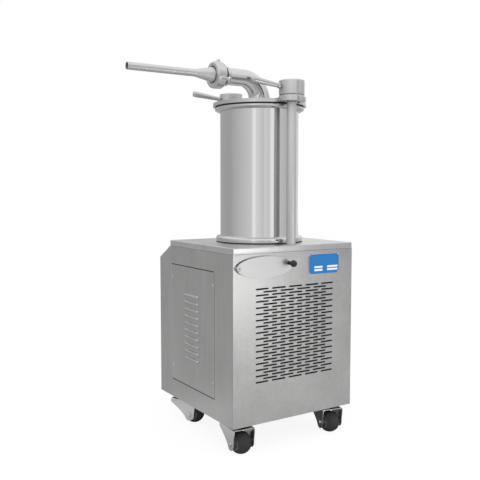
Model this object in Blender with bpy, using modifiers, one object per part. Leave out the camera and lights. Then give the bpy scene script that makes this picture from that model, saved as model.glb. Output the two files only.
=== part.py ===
"""Floor-standing hydraulic sausage filler on four swivel casters.

All sizes are in metres with +Z up. Pieces are placed in machine axes, whose origin
is the point of the floor under the meat cylinder's axis: the control side faces -Y
and the stuffing nozzle points to -X. One empty carries every piece, so that the
origin of the whole lies under the middle of its outline.
"""
import math

import bmesh
import bpy
from mathutils import Matrix, Vector

# Clearances
GAP = 0.0003
RUNNING_GAP = 0.0005
OVERRUN = 0.006
MERGE_DISTANCE = 0.00001

# Counts of facets
LARGE_STEPS = 32
MEDIUM_STEPS = 20
SMALL_STEPS = 16
TINY_STEPS = 12
WHEEL_STEPS = 16
AXLE_STEPS = 8

# Cabinet
CASTER_HEIGHT = 0.108
CABINET_WIDTH = 0.533
CABINET_HEIGHT = 0.627
CAP_DEPTH = 0.471
CAP_LIP = 0.022
CAP_SHEET = 0.003
CAP_EDGE_RADIUS = 0.002
CAP_SEAM = 0.0008
SHOULDER_DEPTH = 0.091
SHOULDER_DROP = 0.074
SHEET = 0.002
TRAY_SHEET = 0.003
TRAY_HEIGHT = 0.030

# Vent slots, in long and short rows by turns
VENT_LONG_COUNT = 5
VENT_FIRST_DROP = 0.147
VENT_ROW_PITCH = 0.0110
VENT_SLOT_PITCH = 0.0743
VENT_SLOT_LENGTH = 0.060
VENT_SLOT_HEIGHT = 0.004
VENT_FIELD_WIDTH = 0.347
VENT_BASE_MARGIN = 0.145
VENT_ROWS = 1 + int((CABINET_HEIGHT - VENT_FIRST_DROP - VENT_BASE_MARGIN) / VENT_ROW_PITCH)

# Service cover on the left panel
COVER_FRONT_INSET = 0.1255
COVER_DROP = 0.092
COVER_WIDTH = 0.335
COVER_BASE_INSET = 0.073
COVER_HEIGHT = CABINET_HEIGHT - COVER_DROP - COVER_BASE_INSET
COVER_SHEET = 0.0015
COVER_GAP = 0.0006
COVER_LEDGE = 0.014
LOUVRE_PITCH = 0.027
LOUVRE_FIRST_DROP = 0.196
LOUVRE_FRONT_INSET = 0.2445
LOUVRE_LENGTH = 0.110
LOUVRE_HEIGHT = 0.011
LOUVRE_RISE = 0.006
LOUVRE_BASE_MARGIN = 0.100
LOUVRE_FIELD = COVER_HEIGHT + COVER_DROP - LOUVRE_FIRST_DROP - LOUVRE_HEIGHT - LOUVRE_BASE_MARGIN
LOUVRE_COUNT = 1 + int(LOUVRE_FIELD / LOUVRE_PITCH)

# Data plate
DATA_PLATE_WIDTH = 0.147
DATA_PLATE_HEIGHT = 0.078
DATA_PLATE_SHEET = 0.001
DATA_PLATE_CORNER = 0.006
DATA_PLATE_RIGHT_INSET = 0.0632
DATA_PLATE_LEFT_INSET = CABINET_WIDTH - DATA_PLATE_RIGHT_INSET - DATA_PLATE_WIDTH
DATA_PLATE_DROP = 0.035

# Control lever
LEVER_LENGTH = 0.236
LEVER_HEIGHT = 0.076
LEVER_SHEET = 0.003
LEVER_INSET = 0.0105
LEVER_DROP = 0.0695
LEVER_STANDOFF = 0.005
LEVER_PIVOT_INSET = 0.017
LEVER_POINTS = 36
LEVER_SWING = math.radians(5)
LEVER_PIN_REACH = 0.090
LEVER_PIN_RADIUS = 0.004
LEVER_PIN_DEPTH = 0.020
PIVOT_SHANK_RADIUS = 0.004
PIVOT_SHANK_DEPTH = 0.012
PIVOT_HEAD_RADIUS = 0.0072
PIVOT_HEAD_HEIGHT = 0.004
BUSHING_RADIUS = 0.009
KNOB_INSET = 0.229
KNOB_DROP = 0.061
KNOB_RADIUS = 0.0125
KNOB_REACH = 0.036
KNOB_FLAT_RADIUS = 0.006
KNOB_BORE_DEPTH = 0.012
STEM_RADIUS = 0.004
STEM_COLLAR_RADIUS = 0.0067
STEM_COLLAR_LENGTH = 0.009

# Meat cylinder, measured up from the top cap
CYLINDER_RADIUS = 0.150
CYLINDER_WALL = 0.004
CYLINDER_HEIGHT = 0.508
CYLINDER_FLOOR = 0.012
FOOT_RADIUS = 0.1665
FOOT_HEIGHT = 0.020
FOOT_ROUNDING = 0.005
RIM_RADIUS = 0.170
RIM_HEIGHT = 0.014
RIM_CHAMFER = 0.006
GASKET_SHEET = 0.0024
GASKET_WIDTH = 0.040

# Lid, with an ear at each tie column
LID_RADIUS = 0.1775
LID_SHEET = 0.013
LID_GASKET_SHEET = 0.0034
LID_GASKET_WIDTH = 0.014
EAR_RADIUS = 0.051
EAR_FILLET = 0.020
EAR_SLOT_FLARE = 0.009
LID_SWING = math.radians(100)

# Tie columns
COLUMN_OFFSET = 0.205
COLUMN_RADIUS = 0.017
STUD_RADIUS = 0.012
STUD_CHAMFER = 0.0015
STUD_HEIGHT = 0.045
COLUMN_CHAMFER = 0.002

# Clamp collars and hand nuts
COLLAR_RADIUS = 0.046
COLLAR_FLARE = 0.0015
COLLAR_HEIGHT = 0.008
HAND_NUT_RADIUS = 0.046
HAND_NUT_HEIGHT = 0.052
HAND_NUT_CHAMFER = 0.0025
HAND_NUT_SEAM = 0.0006
HAND_NUT_TURNS = 2
HAND_NUT_PITCH = 0.004
HANDLE_REACH = 0.160
HANDLE_HEIGHT = 0.024
HANDLE_RISE = math.radians(8.5)
HANDLE_FRONT_HEADING = math.radians(172)
HANDLE_REAR_HEADING = math.radians(166)
HANDLE_ROOT_RADIUS = 0.0070
HANDLE_TIP_RADIUS = 0.0095
HANDLE_COLLAR_RADIUS = 0.0100
HANDLE_COLLAR_LENGTH = 0.008
HANDLE_SOCKET_DEPTH = 0.012
HANDLE_POINTS = 5

# Outlet elbow, measured up from the lid
ELBOW_BASE_RADIUS = 0.0415
ELBOW_OUTLET_RADIUS = 0.0315
ELBOW_WALL = 0.0025
ELBOW_RISER = 0.012
ELBOW_BEND_RADIUS = 0.080
ELBOW_BEND_POINTS = 7
ELBOW_RESOLUTION = 5

# Outlet ferrule, coupling nut and nozzle, measured from the cylinder's axis
FERRULE_START = 0.144
FERRULE_FLANGE = 0.027
FERRULE_FLANGE_RADIUS = 0.036
FERRULE_THREAD_RADIUS = 0.0342
FERRULE_THREAD_LENGTH = 0.015
NUT_RADIUS = 0.0485
NUT_LENGTH = 0.038
NUT_LIP = 0.012
NUT_CHAMFER = 0.004
NUT_MOUTH_RADIUS = 0.0317
NUT_TURNS = 2
NUT_PITCH = 0.006
LUG_COUNT = 3
LUG_FIRST_TURN = math.radians(10)
LUG_LENGTH = 0.024
LUG_HEIGHT = 0.013
LUG_WIDTH = 0.012
LUG_CREST_SHARE = 0.25
LUG_ROOT = 0.004
NOZZLE_GASKET_SHEET = 0.003
NOZZLE_FLANGE = 0.007
NOZZLE_WALL = 0.0016
NOZZLE_MOUTH_RADIUS = 0.0280
NOZZLE_TUBE_RADIUS = 0.0133
NOZZLE_CONE_END = 0.281
NOZZLE_REACH = 0.5423

# Meat piston and hydraulic cylinder
PISTON_CLEARANCE = 0.0015
PISTON_HEIGHT = 0.030
PISTON_CHAMFER = 0.004
PISTON_REST = 0.0060
SEAL_HEIGHT = 0.010
SEAL_DEPTH = 0.006
SEAL_CLEARANCE = 0.0006
ROD_RADIUS = 0.0225
ROD_SPIGOT_RADIUS = 0.016
ROD_SPIGOT_HEIGHT = 0.012
ROD_HEAD_HEIGHT = 0.030
BARREL_BORE_RADIUS = 0.0320
BARREL_WALL = 0.008
BARREL_LENGTH = 0.530
BARREL_FLOOR = 0.012
YOKE_WIDTH = 0.110
YOKE_END = 0.020
YOKE_SHEET = 0.020
PORT_RADIUS = 0.010
PORT_BORE_RADIUS = 0.005
PORT_REACH = 0.014
PORT_LOW_HEIGHT = 0.021
PORT_HIGH_DROP = 0.040
HEAD_REST = 0.016
GLAND_FLANGE_RADIUS = 0.044
GLAND_FLANGE_HEIGHT = 0.005

# Power pack
TANK_BARREL_CLEARANCE = 0.0312
TANK_DEPTH = 0.330
TANK_HEIGHT = 0.240
TANK_INSET = 0.020
TANK_FRONT_INSET = 0.080
TANK_EDGE_RADIUS = 0.008
FILLER_RADIUS = 0.022
FILLER_HEIGHT = 0.022
MOTOR_SIDE_CLEARANCE = 0.0412
MOTOR_BARREL_CLEARANCE = 0.040
MOTOR_FOOT_RISE = 0.022
MOTOR_FIN_DEPTH = 0.007
MOTOR_FINS = 14
MOTOR_LENGTH = 0.190
MOTOR_START = 0.020
MOTOR_FOOT_WIDTH = 0.130
MOTOR_FOOT_HEIGHT = 0.040
COWL_LENGTH = 0.040
COWL_CHAMFER = 0.010
BELL_LENGTH = 0.045
BELL_FRONT_RADIUS = 0.044
PUMP_WIDTH = 0.080
PUMP_HEIGHT = 0.084
PUMP_LENGTH = 0.066
PIPE_RADIUS = 0.012
PIPE_DROP = 0.026

# Control valve, behind the lever
VALVE_WIDTH = 0.090
VALVE_HEIGHT = 0.090
VALVE_DEPTH = 0.056
VALVE_DROP = 0.030
VALVE_EDGE_RADIUS = 0.003
HOSE_RADIUS = 0.007
HOSE_RESOLUTION = 1
HOSE_POINTS = 10
HOSE_LEAD = 0.045

# Mains cable gland
GLAND_SIDE_INSET = 0.110
GLAND_BASE_HEIGHT = 0.065
CABLE_GLAND_RADIUS = 0.013
CABLE_GLAND_SHANK_RADIUS = 0.009
CABLE_GLAND_BORE_RADIUS = 0.0045
CABLE_GLAND_REACH = 0.022
CABLE_GLAND_TAIL = 0.010

# Casters
CASTER_SIDE_INSET = 0.0600
CASTER_FRONT_INSET = 0.0755
CASTER_REAR_INSET = 0.1155
CASTER_TRAIL = 0.035
CASTER_PLATE_LENGTH = 0.080
CASTER_PLATE_WIDTH = 0.115
CASTER_PLATE_SHEET = 0.005
RACE_RADIUS = 0.030
RACE_LOWER_RADIUS = 0.024
RACE_HEIGHT = 0.010
FORK_SHEET = 0.003
FORK_LEAD = 0.051
FORK_TAIL = 0.064
FORK_SKIRT = 0.011
FORK_FOOT_RADIUS = 0.017
WHEEL_RADIUS = 0.040
WHEEL_WIDTH = 0.052
WHEEL_SHOULDER_DROP = 0.009
WHEEL_SHOULDER_WIDTH = 0.015
HUB_LENGTH = 0.077
HUB_RADIUS = 0.014
AXLE_RADIUS = 0.006
AXLE_HEAD_RADIUS = 0.0095
AXLE_HEAD_HEIGHT = 0.005
CASTER_HEADINGS = {
    "front_left": math.radians(-95),
    "front_right": math.radians(-103),
    "rear_left": math.radians(-62),
    "rear_right": math.radians(78),
}

# Places that follow from the sizes above
FRONT = -CAP_DEPTH / 2
CAP_REAR = CAP_DEPTH / 2
REAR = CAP_REAR + SHOULDER_DEPTH
SIDE = CABINET_WIDTH / 2
BASE = CASTER_HEIGHT
TOP = BASE + CABINET_HEIGHT
PANEL_TOP = TOP - CAP_LIP - CAP_SEAM
CYLINDER_BASE = TOP + GASKET_SHEET + 2 * GAP
RIM_TOP = TOP + CYLINDER_HEIGHT
LID_BOTTOM = RIM_TOP + LID_GASKET_SHEET + 2 * GAP
LID_TOP = LID_BOTTOM + LID_SHEET
COLLAR_BOTTOM = LID_TOP + GAP
HAND_NUT_BOTTOM = COLLAR_BOTTOM + COLLAR_HEIGHT + HAND_NUT_SEAM
YOKE_TOP = TOP - CAP_SHEET - GAP
YOKE_LENGTH = 2 * (COLUMN_OFFSET + YOKE_END)
BORE_RADIUS = CYLINDER_RADIUS - CYLINDER_WALL
OUTLET_HEIGHT = LID_TOP + GAP + ELBOW_RISER + ELBOW_BEND_RADIUS
FERRULE_END = FERRULE_START + FERRULE_FLANGE + FERRULE_THREAD_LENGTH
NUT_START = FERRULE_START + FERRULE_FLANGE + GAP
NUT_END = NUT_START + NUT_LENGTH
NOZZLE_FLANGE_START = FERRULE_END + NOZZLE_GASKET_SHEET + 2 * GAP
FLOOR_TOP = CYLINDER_BASE + CYLINDER_FLOOR
PISTON_BOTTOM = FLOOR_TOP + PISTON_REST
PISTON_TOP = PISTON_BOTTOM + PISTON_HEIGHT
TRAY_TOP = BASE + TRAY_SHEET
INNER_SIDE = SIDE - SHEET - GAP - TRAY_SHEET
BARREL_RADIUS = BARREL_BORE_RADIUS + BARREL_WALL
TANK_LEFT = BARREL_RADIUS + TANK_BARREL_CLEARANCE
TANK_WIDTH = INNER_SIDE - TANK_INSET - TANK_LEFT
MOTOR_ROOM = INNER_SIDE - MOTOR_SIDE_CLEARANCE - MOTOR_BARREL_CLEARANCE - BARREL_RADIUS
MOTOR_RADIUS = MOTOR_ROOM / 2
MOTOR_OFFSET = BARREL_RADIUS + MOTOR_BARREL_CLEARANCE + MOTOR_RADIUS
MOTOR_AXIS_HEIGHT = MOTOR_RADIUS + MOTOR_FOOT_RISE
KNOB_FRONT = KNOB_REACH + KNOB_RADIUS
FRONT_REACH = CAP_DEPTH / 2 + KNOB_FRONT
REAR_REACH = REAR + CABLE_GLAND_REACH
MACHINE_AXIS = ((NOZZLE_REACH - SIDE) / 2, (FRONT_REACH - REAR_REACH) / 2, 0)

# Turns that stand a local +Z axis along a machine axis
QUARTER = math.pi / 2
UPRIGHT = (0, 0, 0)
TO_LEFT = (0, -QUARTER, 0)
TO_RIGHT = (0, QUARTER, 0)
TO_FRONT = (QUARTER, 0, 0)
TO_REAR = (-QUARTER, 0, 0)
ON_SIDE = (QUARTER, 0, QUARTER)
ORIGIN = (0, 0, 0)

# Finishes: base colour, roughness and metallic value
FINISHES = {
    "brushed_steel": ((0.52, 0.52, 0.51), 0.38, 1.0),
    "polished_steel": ((0.62, 0.62, 0.62), 0.14, 1.0),
    "turned_steel": ((0.60, 0.60, 0.59), 0.26, 1.0),
    "zinc_steel": ((0.55, 0.57, 0.60), 0.35, 1.0),
    "black_steel": ((0.02, 0.02, 0.02), 0.45, 0.6),
    "tyre_rubber": ((0.03, 0.03, 0.03), 0.70, 0.0),
    "seal_rubber": ((0.02, 0.02, 0.02), 0.65, 0.0),
    "white_seal": ((0.80, 0.80, 0.78), 0.50, 0.0),
    "knob_plastic": ((0.01, 0.01, 0.01), 0.25, 0.0),
    "plate_blue": ((0.01, 0.18, 0.60), 0.35, 0.0),
    "machine_paint": ((0.10, 0.22, 0.35), 0.40, 0.0),
    "tank_plastic": ((0.72, 0.73, 0.68), 0.50, 0.0),
    "cast_grey": ((0.25, 0.26, 0.27), 0.55, 0.3),
    "brass": ((0.70, 0.52, 0.22), 0.30, 1.0),
    "bright_rod": ((0.75, 0.75, 0.76), 0.08, 1.0),
}


def clear_scene():
    """Remove every object that the file starts with."""
    for obj in list(bpy.data.objects):
        bpy.data.objects.remove(obj, do_unlink=True)


def new_collection(name):
    """Return a new collection of the scene."""
    collection = bpy.data.collections.new(name)
    bpy.context.scene.collection.children.link(collection)
    return collection


clear_scene()
PARTS = new_collection("sausage_filler")
CUTTERS = new_collection("cutters")


def finish_material(finish):
    """Return the material of a finish, made once."""
    if finish in bpy.data.materials:
        return bpy.data.materials[finish]
    colour, roughness, metallic = FINISHES[finish]
    material = bpy.data.materials.new(finish)
    material.use_nodes = True
    shader = material.node_tree.nodes["Principled BSDF"]
    shader.inputs["Base Color"].default_value = (*colour, 1)
    shader.inputs["Roughness"].default_value = roughness
    shader.inputs["Metallic"].default_value = metallic
    return material


def empty(name, at, parent=None, turn=UPRIGHT):
    """Place an empty, such as a joint's axis, given in its parent's axes."""
    obj = bpy.data.objects.new(name, None)
    PARTS.objects.link(obj)
    obj.parent = parent
    obj.location = at
    obj.rotation_euler = turn
    return obj


def add_object(name, data, finish, parent, at, turn):
    """Link an object that is a piece, or a cutter where finish is None."""
    obj = bpy.data.objects.new(name, data)
    obj.parent = parent
    obj.location = at
    obj.rotation_euler = turn
    if finish is None:
        CUTTERS.objects.link(obj)
        obj.hide_render = True
        obj.display_type = "WIRE"
    else:
        PARTS.objects.link(obj)
        if not data.materials:
            data.materials.append(finish_material(finish))
    return obj


def turned(name, profile, steps, finish, parent, at=ORIGIN, turn=UPRIGHT):
    """Turn a profile of (radius, height) points, listed down its outer side.

    A profile that starts and ends on the axis is left open, and any other is a ring.
    """
    mesh = bpy.data.meshes.new(name)
    vertices = [(radius, 0, height) for radius, height in profile]
    edges = [(index, index + 1) for index in range(len(profile) - 1)]
    if profile[0][0] > 0:
        edges.append((len(profile) - 1, 0))
    mesh.from_pydata(vertices, edges, [])
    obj = add_object(name, mesh, finish, parent, at, turn)
    screw = obj.modifiers.new("Turning", "SCREW")
    screw.steps = steps
    screw.render_steps = steps
    screw.use_merge_vertices = True
    screw.merge_threshold = MERGE_DISTANCE
    screw.use_smooth_shade = False
    return obj


def rod(name, radius, length, steps, parent, at=ORIGIN, turn=UPRIGHT):
    """Make a plain round cutter from its base at the given place."""
    profile = [(0, length), (radius, length), (radius, 0), (0, 0)]
    return turned(name, profile, steps, None, parent, at, turn)


def cut_sheet(name, outlines, thickness, finish, parent, at=ORIGIN, turn=UPRIGHT):
    """Extrude flat outlines by half the thickness to each side of their plane."""
    curve = bpy.data.curves.new(name, "CURVE")
    curve.dimensions = "2D"
    curve.fill_mode = "BOTH"
    curve.extrude = thickness / 2
    for outline in outlines:
        spline = curve.splines.new("POLY")
        spline.points.add(len(outline) - 1)
        spline.use_cyclic_u = True
        for point, (across, along) in zip(spline.points, outline):
            point.co = (across, along, 0, 1)
    return add_object(name, curve, finish, parent, at, turn)


def tube(name, points, radii, resolution, finish, parent, at=ORIGIN):
    """Sweep a round section, whose radius may change, along points."""
    curve = bpy.data.curves.new(name, "CURVE")
    curve.dimensions = "3D"
    curve.bevel_depth = radii[0]
    curve.bevel_resolution = resolution
    curve.use_fill_caps = True
    spline = curve.splines.new("POLY")
    spline.points.add(len(points) - 1)
    for target, point, radius in zip(spline.points, points, radii):
        target.co = (*point, 1)
        target.radius = radius / radii[0]
    return add_object(name, curve, finish, parent, at, UPRIGHT)


def box(name, low, high, finish, parent, rounding=0.0):
    """Make a box between two corners given in the parent's axes."""
    size = Vector(high) - Vector(low)
    centre = (Vector(high) + Vector(low)) / 2
    mesh = bpy.data.meshes.new(name)
    shape = bmesh.new()
    bmesh.ops.create_cube(shape, size=1, matrix=Matrix.Diagonal((*size, 1)))
    if rounding:
        bmesh.ops.bevel(shape, geom=shape.edges[:], offset=rounding, segments=1, affect="EDGES")
    shape.to_mesh(mesh)
    shape.free()
    return add_object(name, mesh, finish, parent, centre, UPRIGHT)


def evaluated_mesh(obj):
    """Return the mesh of an object with its modifiers, its doubled points welded."""
    bpy.context.view_layer.update()
    source = obj.evaluated_get(bpy.context.evaluated_depsgraph_get())
    mesh = bpy.data.meshes.new_from_object(source)
    shape = bmesh.new()
    shape.from_mesh(mesh)
    bmesh.ops.remove_doubles(shape, verts=shape.verts[:], dist=MERGE_DISTANCE)
    shape.to_mesh(mesh)
    shape.free()
    return mesh


def meshed(obj, finish):
    """Put a mesh object in a curve's place, so that it can be cut or can cut."""
    name = obj.name
    mesh = evaluated_mesh(obj)
    obj.name = name + "_curve"
    solid = add_object(name, mesh, finish, obj.parent, obj.location, obj.rotation_euler)
    bpy.data.objects.remove(obj)
    return solid


def combine(obj, tool, operation):
    """Cut, join or intersect an object with a tool object."""
    modifier = obj.modifiers.new(operation.title(), "BOOLEAN")
    modifier.operation = operation
    modifier.solver = "EXACT"
    modifier.object = tool


def solidify(obj, thickness):
    """Give an open surface its wall, on its inner side."""
    modifier = obj.modifiers.new("Wall", "SOLIDIFY")
    modifier.thickness = thickness
    modifier.offset = -1


def rectangle(low_across, high_across, low_along, high_along):
    """Return the four corners of a rectangle."""
    return [
        (low_across, low_along),
        (high_across, low_along),
        (high_across, high_along),
        (low_across, high_along),
    ]


def arc(centre, radius, start, end, steps):
    """Return points along an arc, both ends included."""
    points = []
    for index in range(steps + 1):
        angle = start + (end - start) * index / steps
        points.append((centre[0] + radius * math.cos(angle), centre[1] + radius * math.sin(angle)))
    return points


def circle(centre, radius, steps):
    """Return points round a circle."""
    return arc(centre, radius, 0, 2 * math.pi * (steps - 1) / steps, steps - 1)


MACHINE = empty("machine_axis", MACHINE_AXIS)


def vent_outlines():
    """Return the outlines of all vent slots, in the front panel's axes."""
    outlines = []
    half_field = VENT_FIELD_WIDTH / 2
    for row in range(VENT_ROWS):
        count = VENT_LONG_COUNT - row % 2
        height = TOP - VENT_FIRST_DROP - row * VENT_ROW_PITCH
        for index in range(count):
            middle = (index - (count - 1) / 2) * VENT_SLOT_PITCH
            low = max(middle - VENT_SLOT_LENGTH / 2, -half_field)
            high = min(middle + VENT_SLOT_LENGTH / 2, half_field)
            half_height = VENT_SLOT_HEIGHT / 2
            outlines.append(rectangle(low, high, height - half_height, height + half_height))
    return outlines


def build_front_panel():
    """Make the front panel with its vents and the holes behind the control lever."""
    pivot = (-SIDE + LEVER_PIVOT_INSET, TOP - LEVER_DROP)
    pin_travel = LEVER_PIN_REACH * math.sin(LEVER_SWING) + LEVER_PIN_RADIUS + RUNNING_GAP
    pin_middle = pivot[0] + LEVER_PIN_REACH
    pin_half_width = LEVER_PIN_RADIUS + 2 * RUNNING_GAP
    outlines = [rectangle(-SIDE, SIDE, BASE, PANEL_TOP)]
    outlines.append(circle(pivot, PIVOT_SHANK_RADIUS + RUNNING_GAP, TINY_STEPS))
    outlines.append(
        rectangle(
            pin_middle - pin_half_width,
            pin_middle + pin_half_width,
            pivot[1] - pin_travel,
            pivot[1] + pin_travel,
        )
    )
    outlines.extend(vent_outlines())
    place = (0, FRONT + SHEET / 2, 0)
    cut_sheet("front_panel", outlines, SHEET, "brushed_steel", MACHINE, place, TO_FRONT)


def side_outline():
    """Return a side panel's outline, with the sloped shoulder behind the cap."""
    start = FRONT + SHEET + GAP
    return [
        (start, BASE),
        (REAR, BASE),
        (REAR, TOP - SHOULDER_DROP),
        (CAP_REAR, PANEL_TOP),
        (start, PANEL_TOP),
    ]


def build_side_panels():
    """Make both side panels, the left one with its framed service opening."""
    place = (SIDE - SHEET / 2, 0, 0)
    cut_sheet("right_panel", [side_outline()], SHEET, "brushed_steel", MACHINE, place, ON_SIDE)
    low_y = FRONT + COVER_FRONT_INSET - COVER_GAP
    high_y = FRONT + COVER_FRONT_INSET + COVER_WIDTH + COVER_GAP
    low_z = TOP - COVER_DROP - COVER_HEIGHT - COVER_GAP
    high_z = TOP - COVER_DROP + COVER_GAP
    opening = rectangle(low_y, high_y, low_z, high_z)
    panel = cut_sheet(
        "left_panel",
        [side_outline(), opening],
        SHEET,
        "brushed_steel",
        MACHINE,
        (-SIDE + SHEET / 2, 0, 0),
        ON_SIDE,
    )
    panel = meshed(panel, "brushed_steel")
    ledge_front = -SIDE + COVER_SHEET + GAP
    ledge_back = ledge_front + SHEET
    for name, edge in (("front_ledge", low_y), ("rear_ledge", high_y)):
        low = (ledge_front, edge - COVER_LEDGE, low_z - COVER_LEDGE)
        high = (ledge_back, edge + COVER_LEDGE, high_z + COVER_LEDGE)
        combine(panel, box(name, low, high, None, MACHINE), "UNION")


def build_rear_panel():
    """Fold the rear panel over the shoulder and pierce it for the mains cable."""
    half = SIDE - SHEET - GAP
    folds = [(CAP_REAR, PANEL_TOP), (REAR, TOP - SHOULDER_DROP), (REAR, BASE)]
    mesh = bpy.data.meshes.new("rear_panel")
    shape = bmesh.new()
    edges = []
    for depth, height in folds:
        left = shape.verts.new((-half, depth, height))
        right = shape.verts.new((half, depth, height))
        edges.append((left, right))
    for upper, lower in zip(edges, edges[1:]):
        shape.faces.new((upper[0], upper[1], lower[1], lower[0]))
    shape.to_mesh(mesh)
    shape.free()
    panel = add_object("rear_panel", mesh, "brushed_steel", MACHINE, ORIGIN, UPRIGHT)
    solidify(panel, SHEET)
    hole_radius = CABLE_GLAND_SHANK_RADIUS + GAP
    place = (SIDE - GLAND_SIDE_INSET, REAR - SHEET - OVERRUN, BASE + GLAND_BASE_HEIGHT)
    length = SHEET + 2 * OVERRUN
    hole = rod("gland_hole", hole_radius, length, TINY_STEPS, MACHINE, place, TO_REAR)
    combine(panel, hole, "DIFFERENCE")


def open_pan(name, low, high, missing_side, thickness, finish, rounding=0.0):
    """Make a thin pan: a box that lacks its top (+1) or its bottom (-1)."""
    pan = box(name, low, high, finish, MACHINE)
    shape = bmesh.new()
    shape.from_mesh(pan.data)
    lost = [face for face in shape.faces if face.normal.z * missing_side > 0]
    bmesh.ops.delete(shape, geom=lost, context="FACES_ONLY")
    if rounding:
        rounded = [edge for edge in shape.edges if not edge.is_boundary]
        bmesh.ops.bevel(shape, geom=rounded, offset=rounding, segments=1, affect="EDGES")
    shape.to_mesh(pan.data)
    shape.free()
    solidify(pan, thickness)
    return pan


def build_top_cap():
    """Press the top cap and pierce it for the columns and the rod gland."""
    low = (-SIDE, FRONT, TOP - CAP_LIP)
    high = (SIDE, CAP_REAR, TOP)
    cap = open_pan("top_cap", low, high, -1, CAP_SHEET, "brushed_steel", CAP_EDGE_RADIUS)
    start = TOP - CAP_SHEET - OVERRUN
    length = CAP_SHEET + 2 * OVERRUN
    holes = [
        ("front_stud_hole", -COLUMN_OFFSET, STUD_RADIUS + GAP, SMALL_STEPS),
        ("rear_stud_hole", COLUMN_OFFSET, STUD_RADIUS + GAP, SMALL_STEPS),
        ("gland_passage", 0, BARREL_BORE_RADIUS + GAP, MEDIUM_STEPS),
    ]
    for name, depth, radius, steps in holes:
        combine(cap, rod(name, radius, length, steps, MACHINE, (0, depth, start)), "DIFFERENCE")


def build_base_tray():
    """Make the tray that carries the power pack and the casters."""
    half = SIDE - SHEET - GAP
    low = (-half, FRONT + SHEET + GAP, BASE)
    high = (half, REAR - SHEET - GAP, BASE + TRAY_HEIGHT)
    open_pan("base_tray", low, high, 1, TRAY_SHEET, "brushed_steel")


def build_service_cover():
    """Press the louvred cover: each louvre is a lip raised from the sheet."""
    half_width = COVER_WIDTH / 2
    half_height = COVER_HEIGHT / 2
    field_high = half_width - (LOUVRE_FRONT_INSET - COVER_FRONT_INSET)
    field_low = field_high - LOUVRE_LENGTH
    cover_top = COVER_DROP
    shape = bmesh.new()

    def row(height):
        """Make one line of sheet points: both sides and both field edges."""
        places = (-half_width, field_low, field_high, half_width)
        return [shape.verts.new((place, height, 0)) for place in places]

    def strip(upper, lower, columns):
        """Close the sheet between two lines of points in the given columns."""
        for column in columns:
            shape.faces.new((upper[column], lower[column], lower[column + 1], upper[column + 1]))

    previous = row(half_height)
    for index in range(LOUVRE_COUNT):
        drop = LOUVRE_FIRST_DROP + index * LOUVRE_PITCH - cover_top
        fold = row(half_height - drop)
        lower = row(half_height - drop - LOUVRE_HEIGHT)
        strip(previous, fold, (0, 1, 2))
        strip(fold, lower, (0, 2))
        lip_height = half_height - drop - LOUVRE_HEIGHT
        lip = [shape.verts.new((place, lip_height, LOUVRE_RISE)) for place in (field_low, field_high)]
        shape.faces.new((fold[1], lip[0], lip[1], fold[2]))
        shape.faces.new((fold[1], lower[1], lip[0]))
        shape.faces.new((fold[2], lip[1], lower[2]))
        previous = lower
    strip(previous, row(-half_height), (0, 1, 2))
    mesh = bpy.data.meshes.new("service_cover")
    shape.to_mesh(mesh)
    shape.free()
    middle_y = FRONT + COVER_FRONT_INSET + half_width
    middle_z = TOP - COVER_DROP - half_height
    turn = (QUARTER, 0, -QUARTER)
    cover = add_object("service_cover", mesh, "brushed_steel", MACHINE, (-SIDE, middle_y, middle_z), turn)
    solidify(cover, COVER_SHEET)


def build_data_plate():
    """Make the plain plate with clipped corners at the upper right of the front."""
    low_x = -SIDE + DATA_PLATE_LEFT_INSET
    high_x = low_x + DATA_PLATE_WIDTH
    high_z = TOP - DATA_PLATE_DROP
    low_z = high_z - DATA_PLATE_HEIGHT
    clip = DATA_PLATE_CORNER
    outline = [
        (low_x + clip, low_z),
        (high_x - clip, low_z),
        (high_x, low_z + clip),
        (high_x, high_z - clip),
        (high_x - clip, high_z),
        (low_x + clip, high_z),
        (low_x, high_z - clip),
        (low_x, low_z + clip),
    ]
    place = (0, FRONT - GAP - DATA_PLATE_SHEET / 2, 0)
    cut_sheet("data_plate", [outline], DATA_PLATE_SHEET, "plate_blue", MACHINE, place, TO_FRONT)


def build_cable_gland():
    """Turn the mains cable's gland and set it in the rear panel."""
    profile = [
        (CABLE_GLAND_SHANK_RADIUS, CABLE_GLAND_REACH),
        (CABLE_GLAND_RADIUS, CABLE_GLAND_REACH - (CABLE_GLAND_RADIUS - CABLE_GLAND_SHANK_RADIUS)),
        (CABLE_GLAND_RADIUS, GAP),
        (CABLE_GLAND_SHANK_RADIUS, GAP),
        (CABLE_GLAND_SHANK_RADIUS, -SHEET - CABLE_GLAND_TAIL),
        (CABLE_GLAND_BORE_RADIUS, -SHEET - CABLE_GLAND_TAIL),
        (CABLE_GLAND_BORE_RADIUS, CABLE_GLAND_REACH),
    ]
    place = (SIDE - GLAND_SIDE_INSET, REAR, BASE + GLAND_BASE_HEIGHT)
    turned("cable_gland", profile, TINY_STEPS, "knob_plastic", MACHINE, place, TO_REAR)


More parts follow.
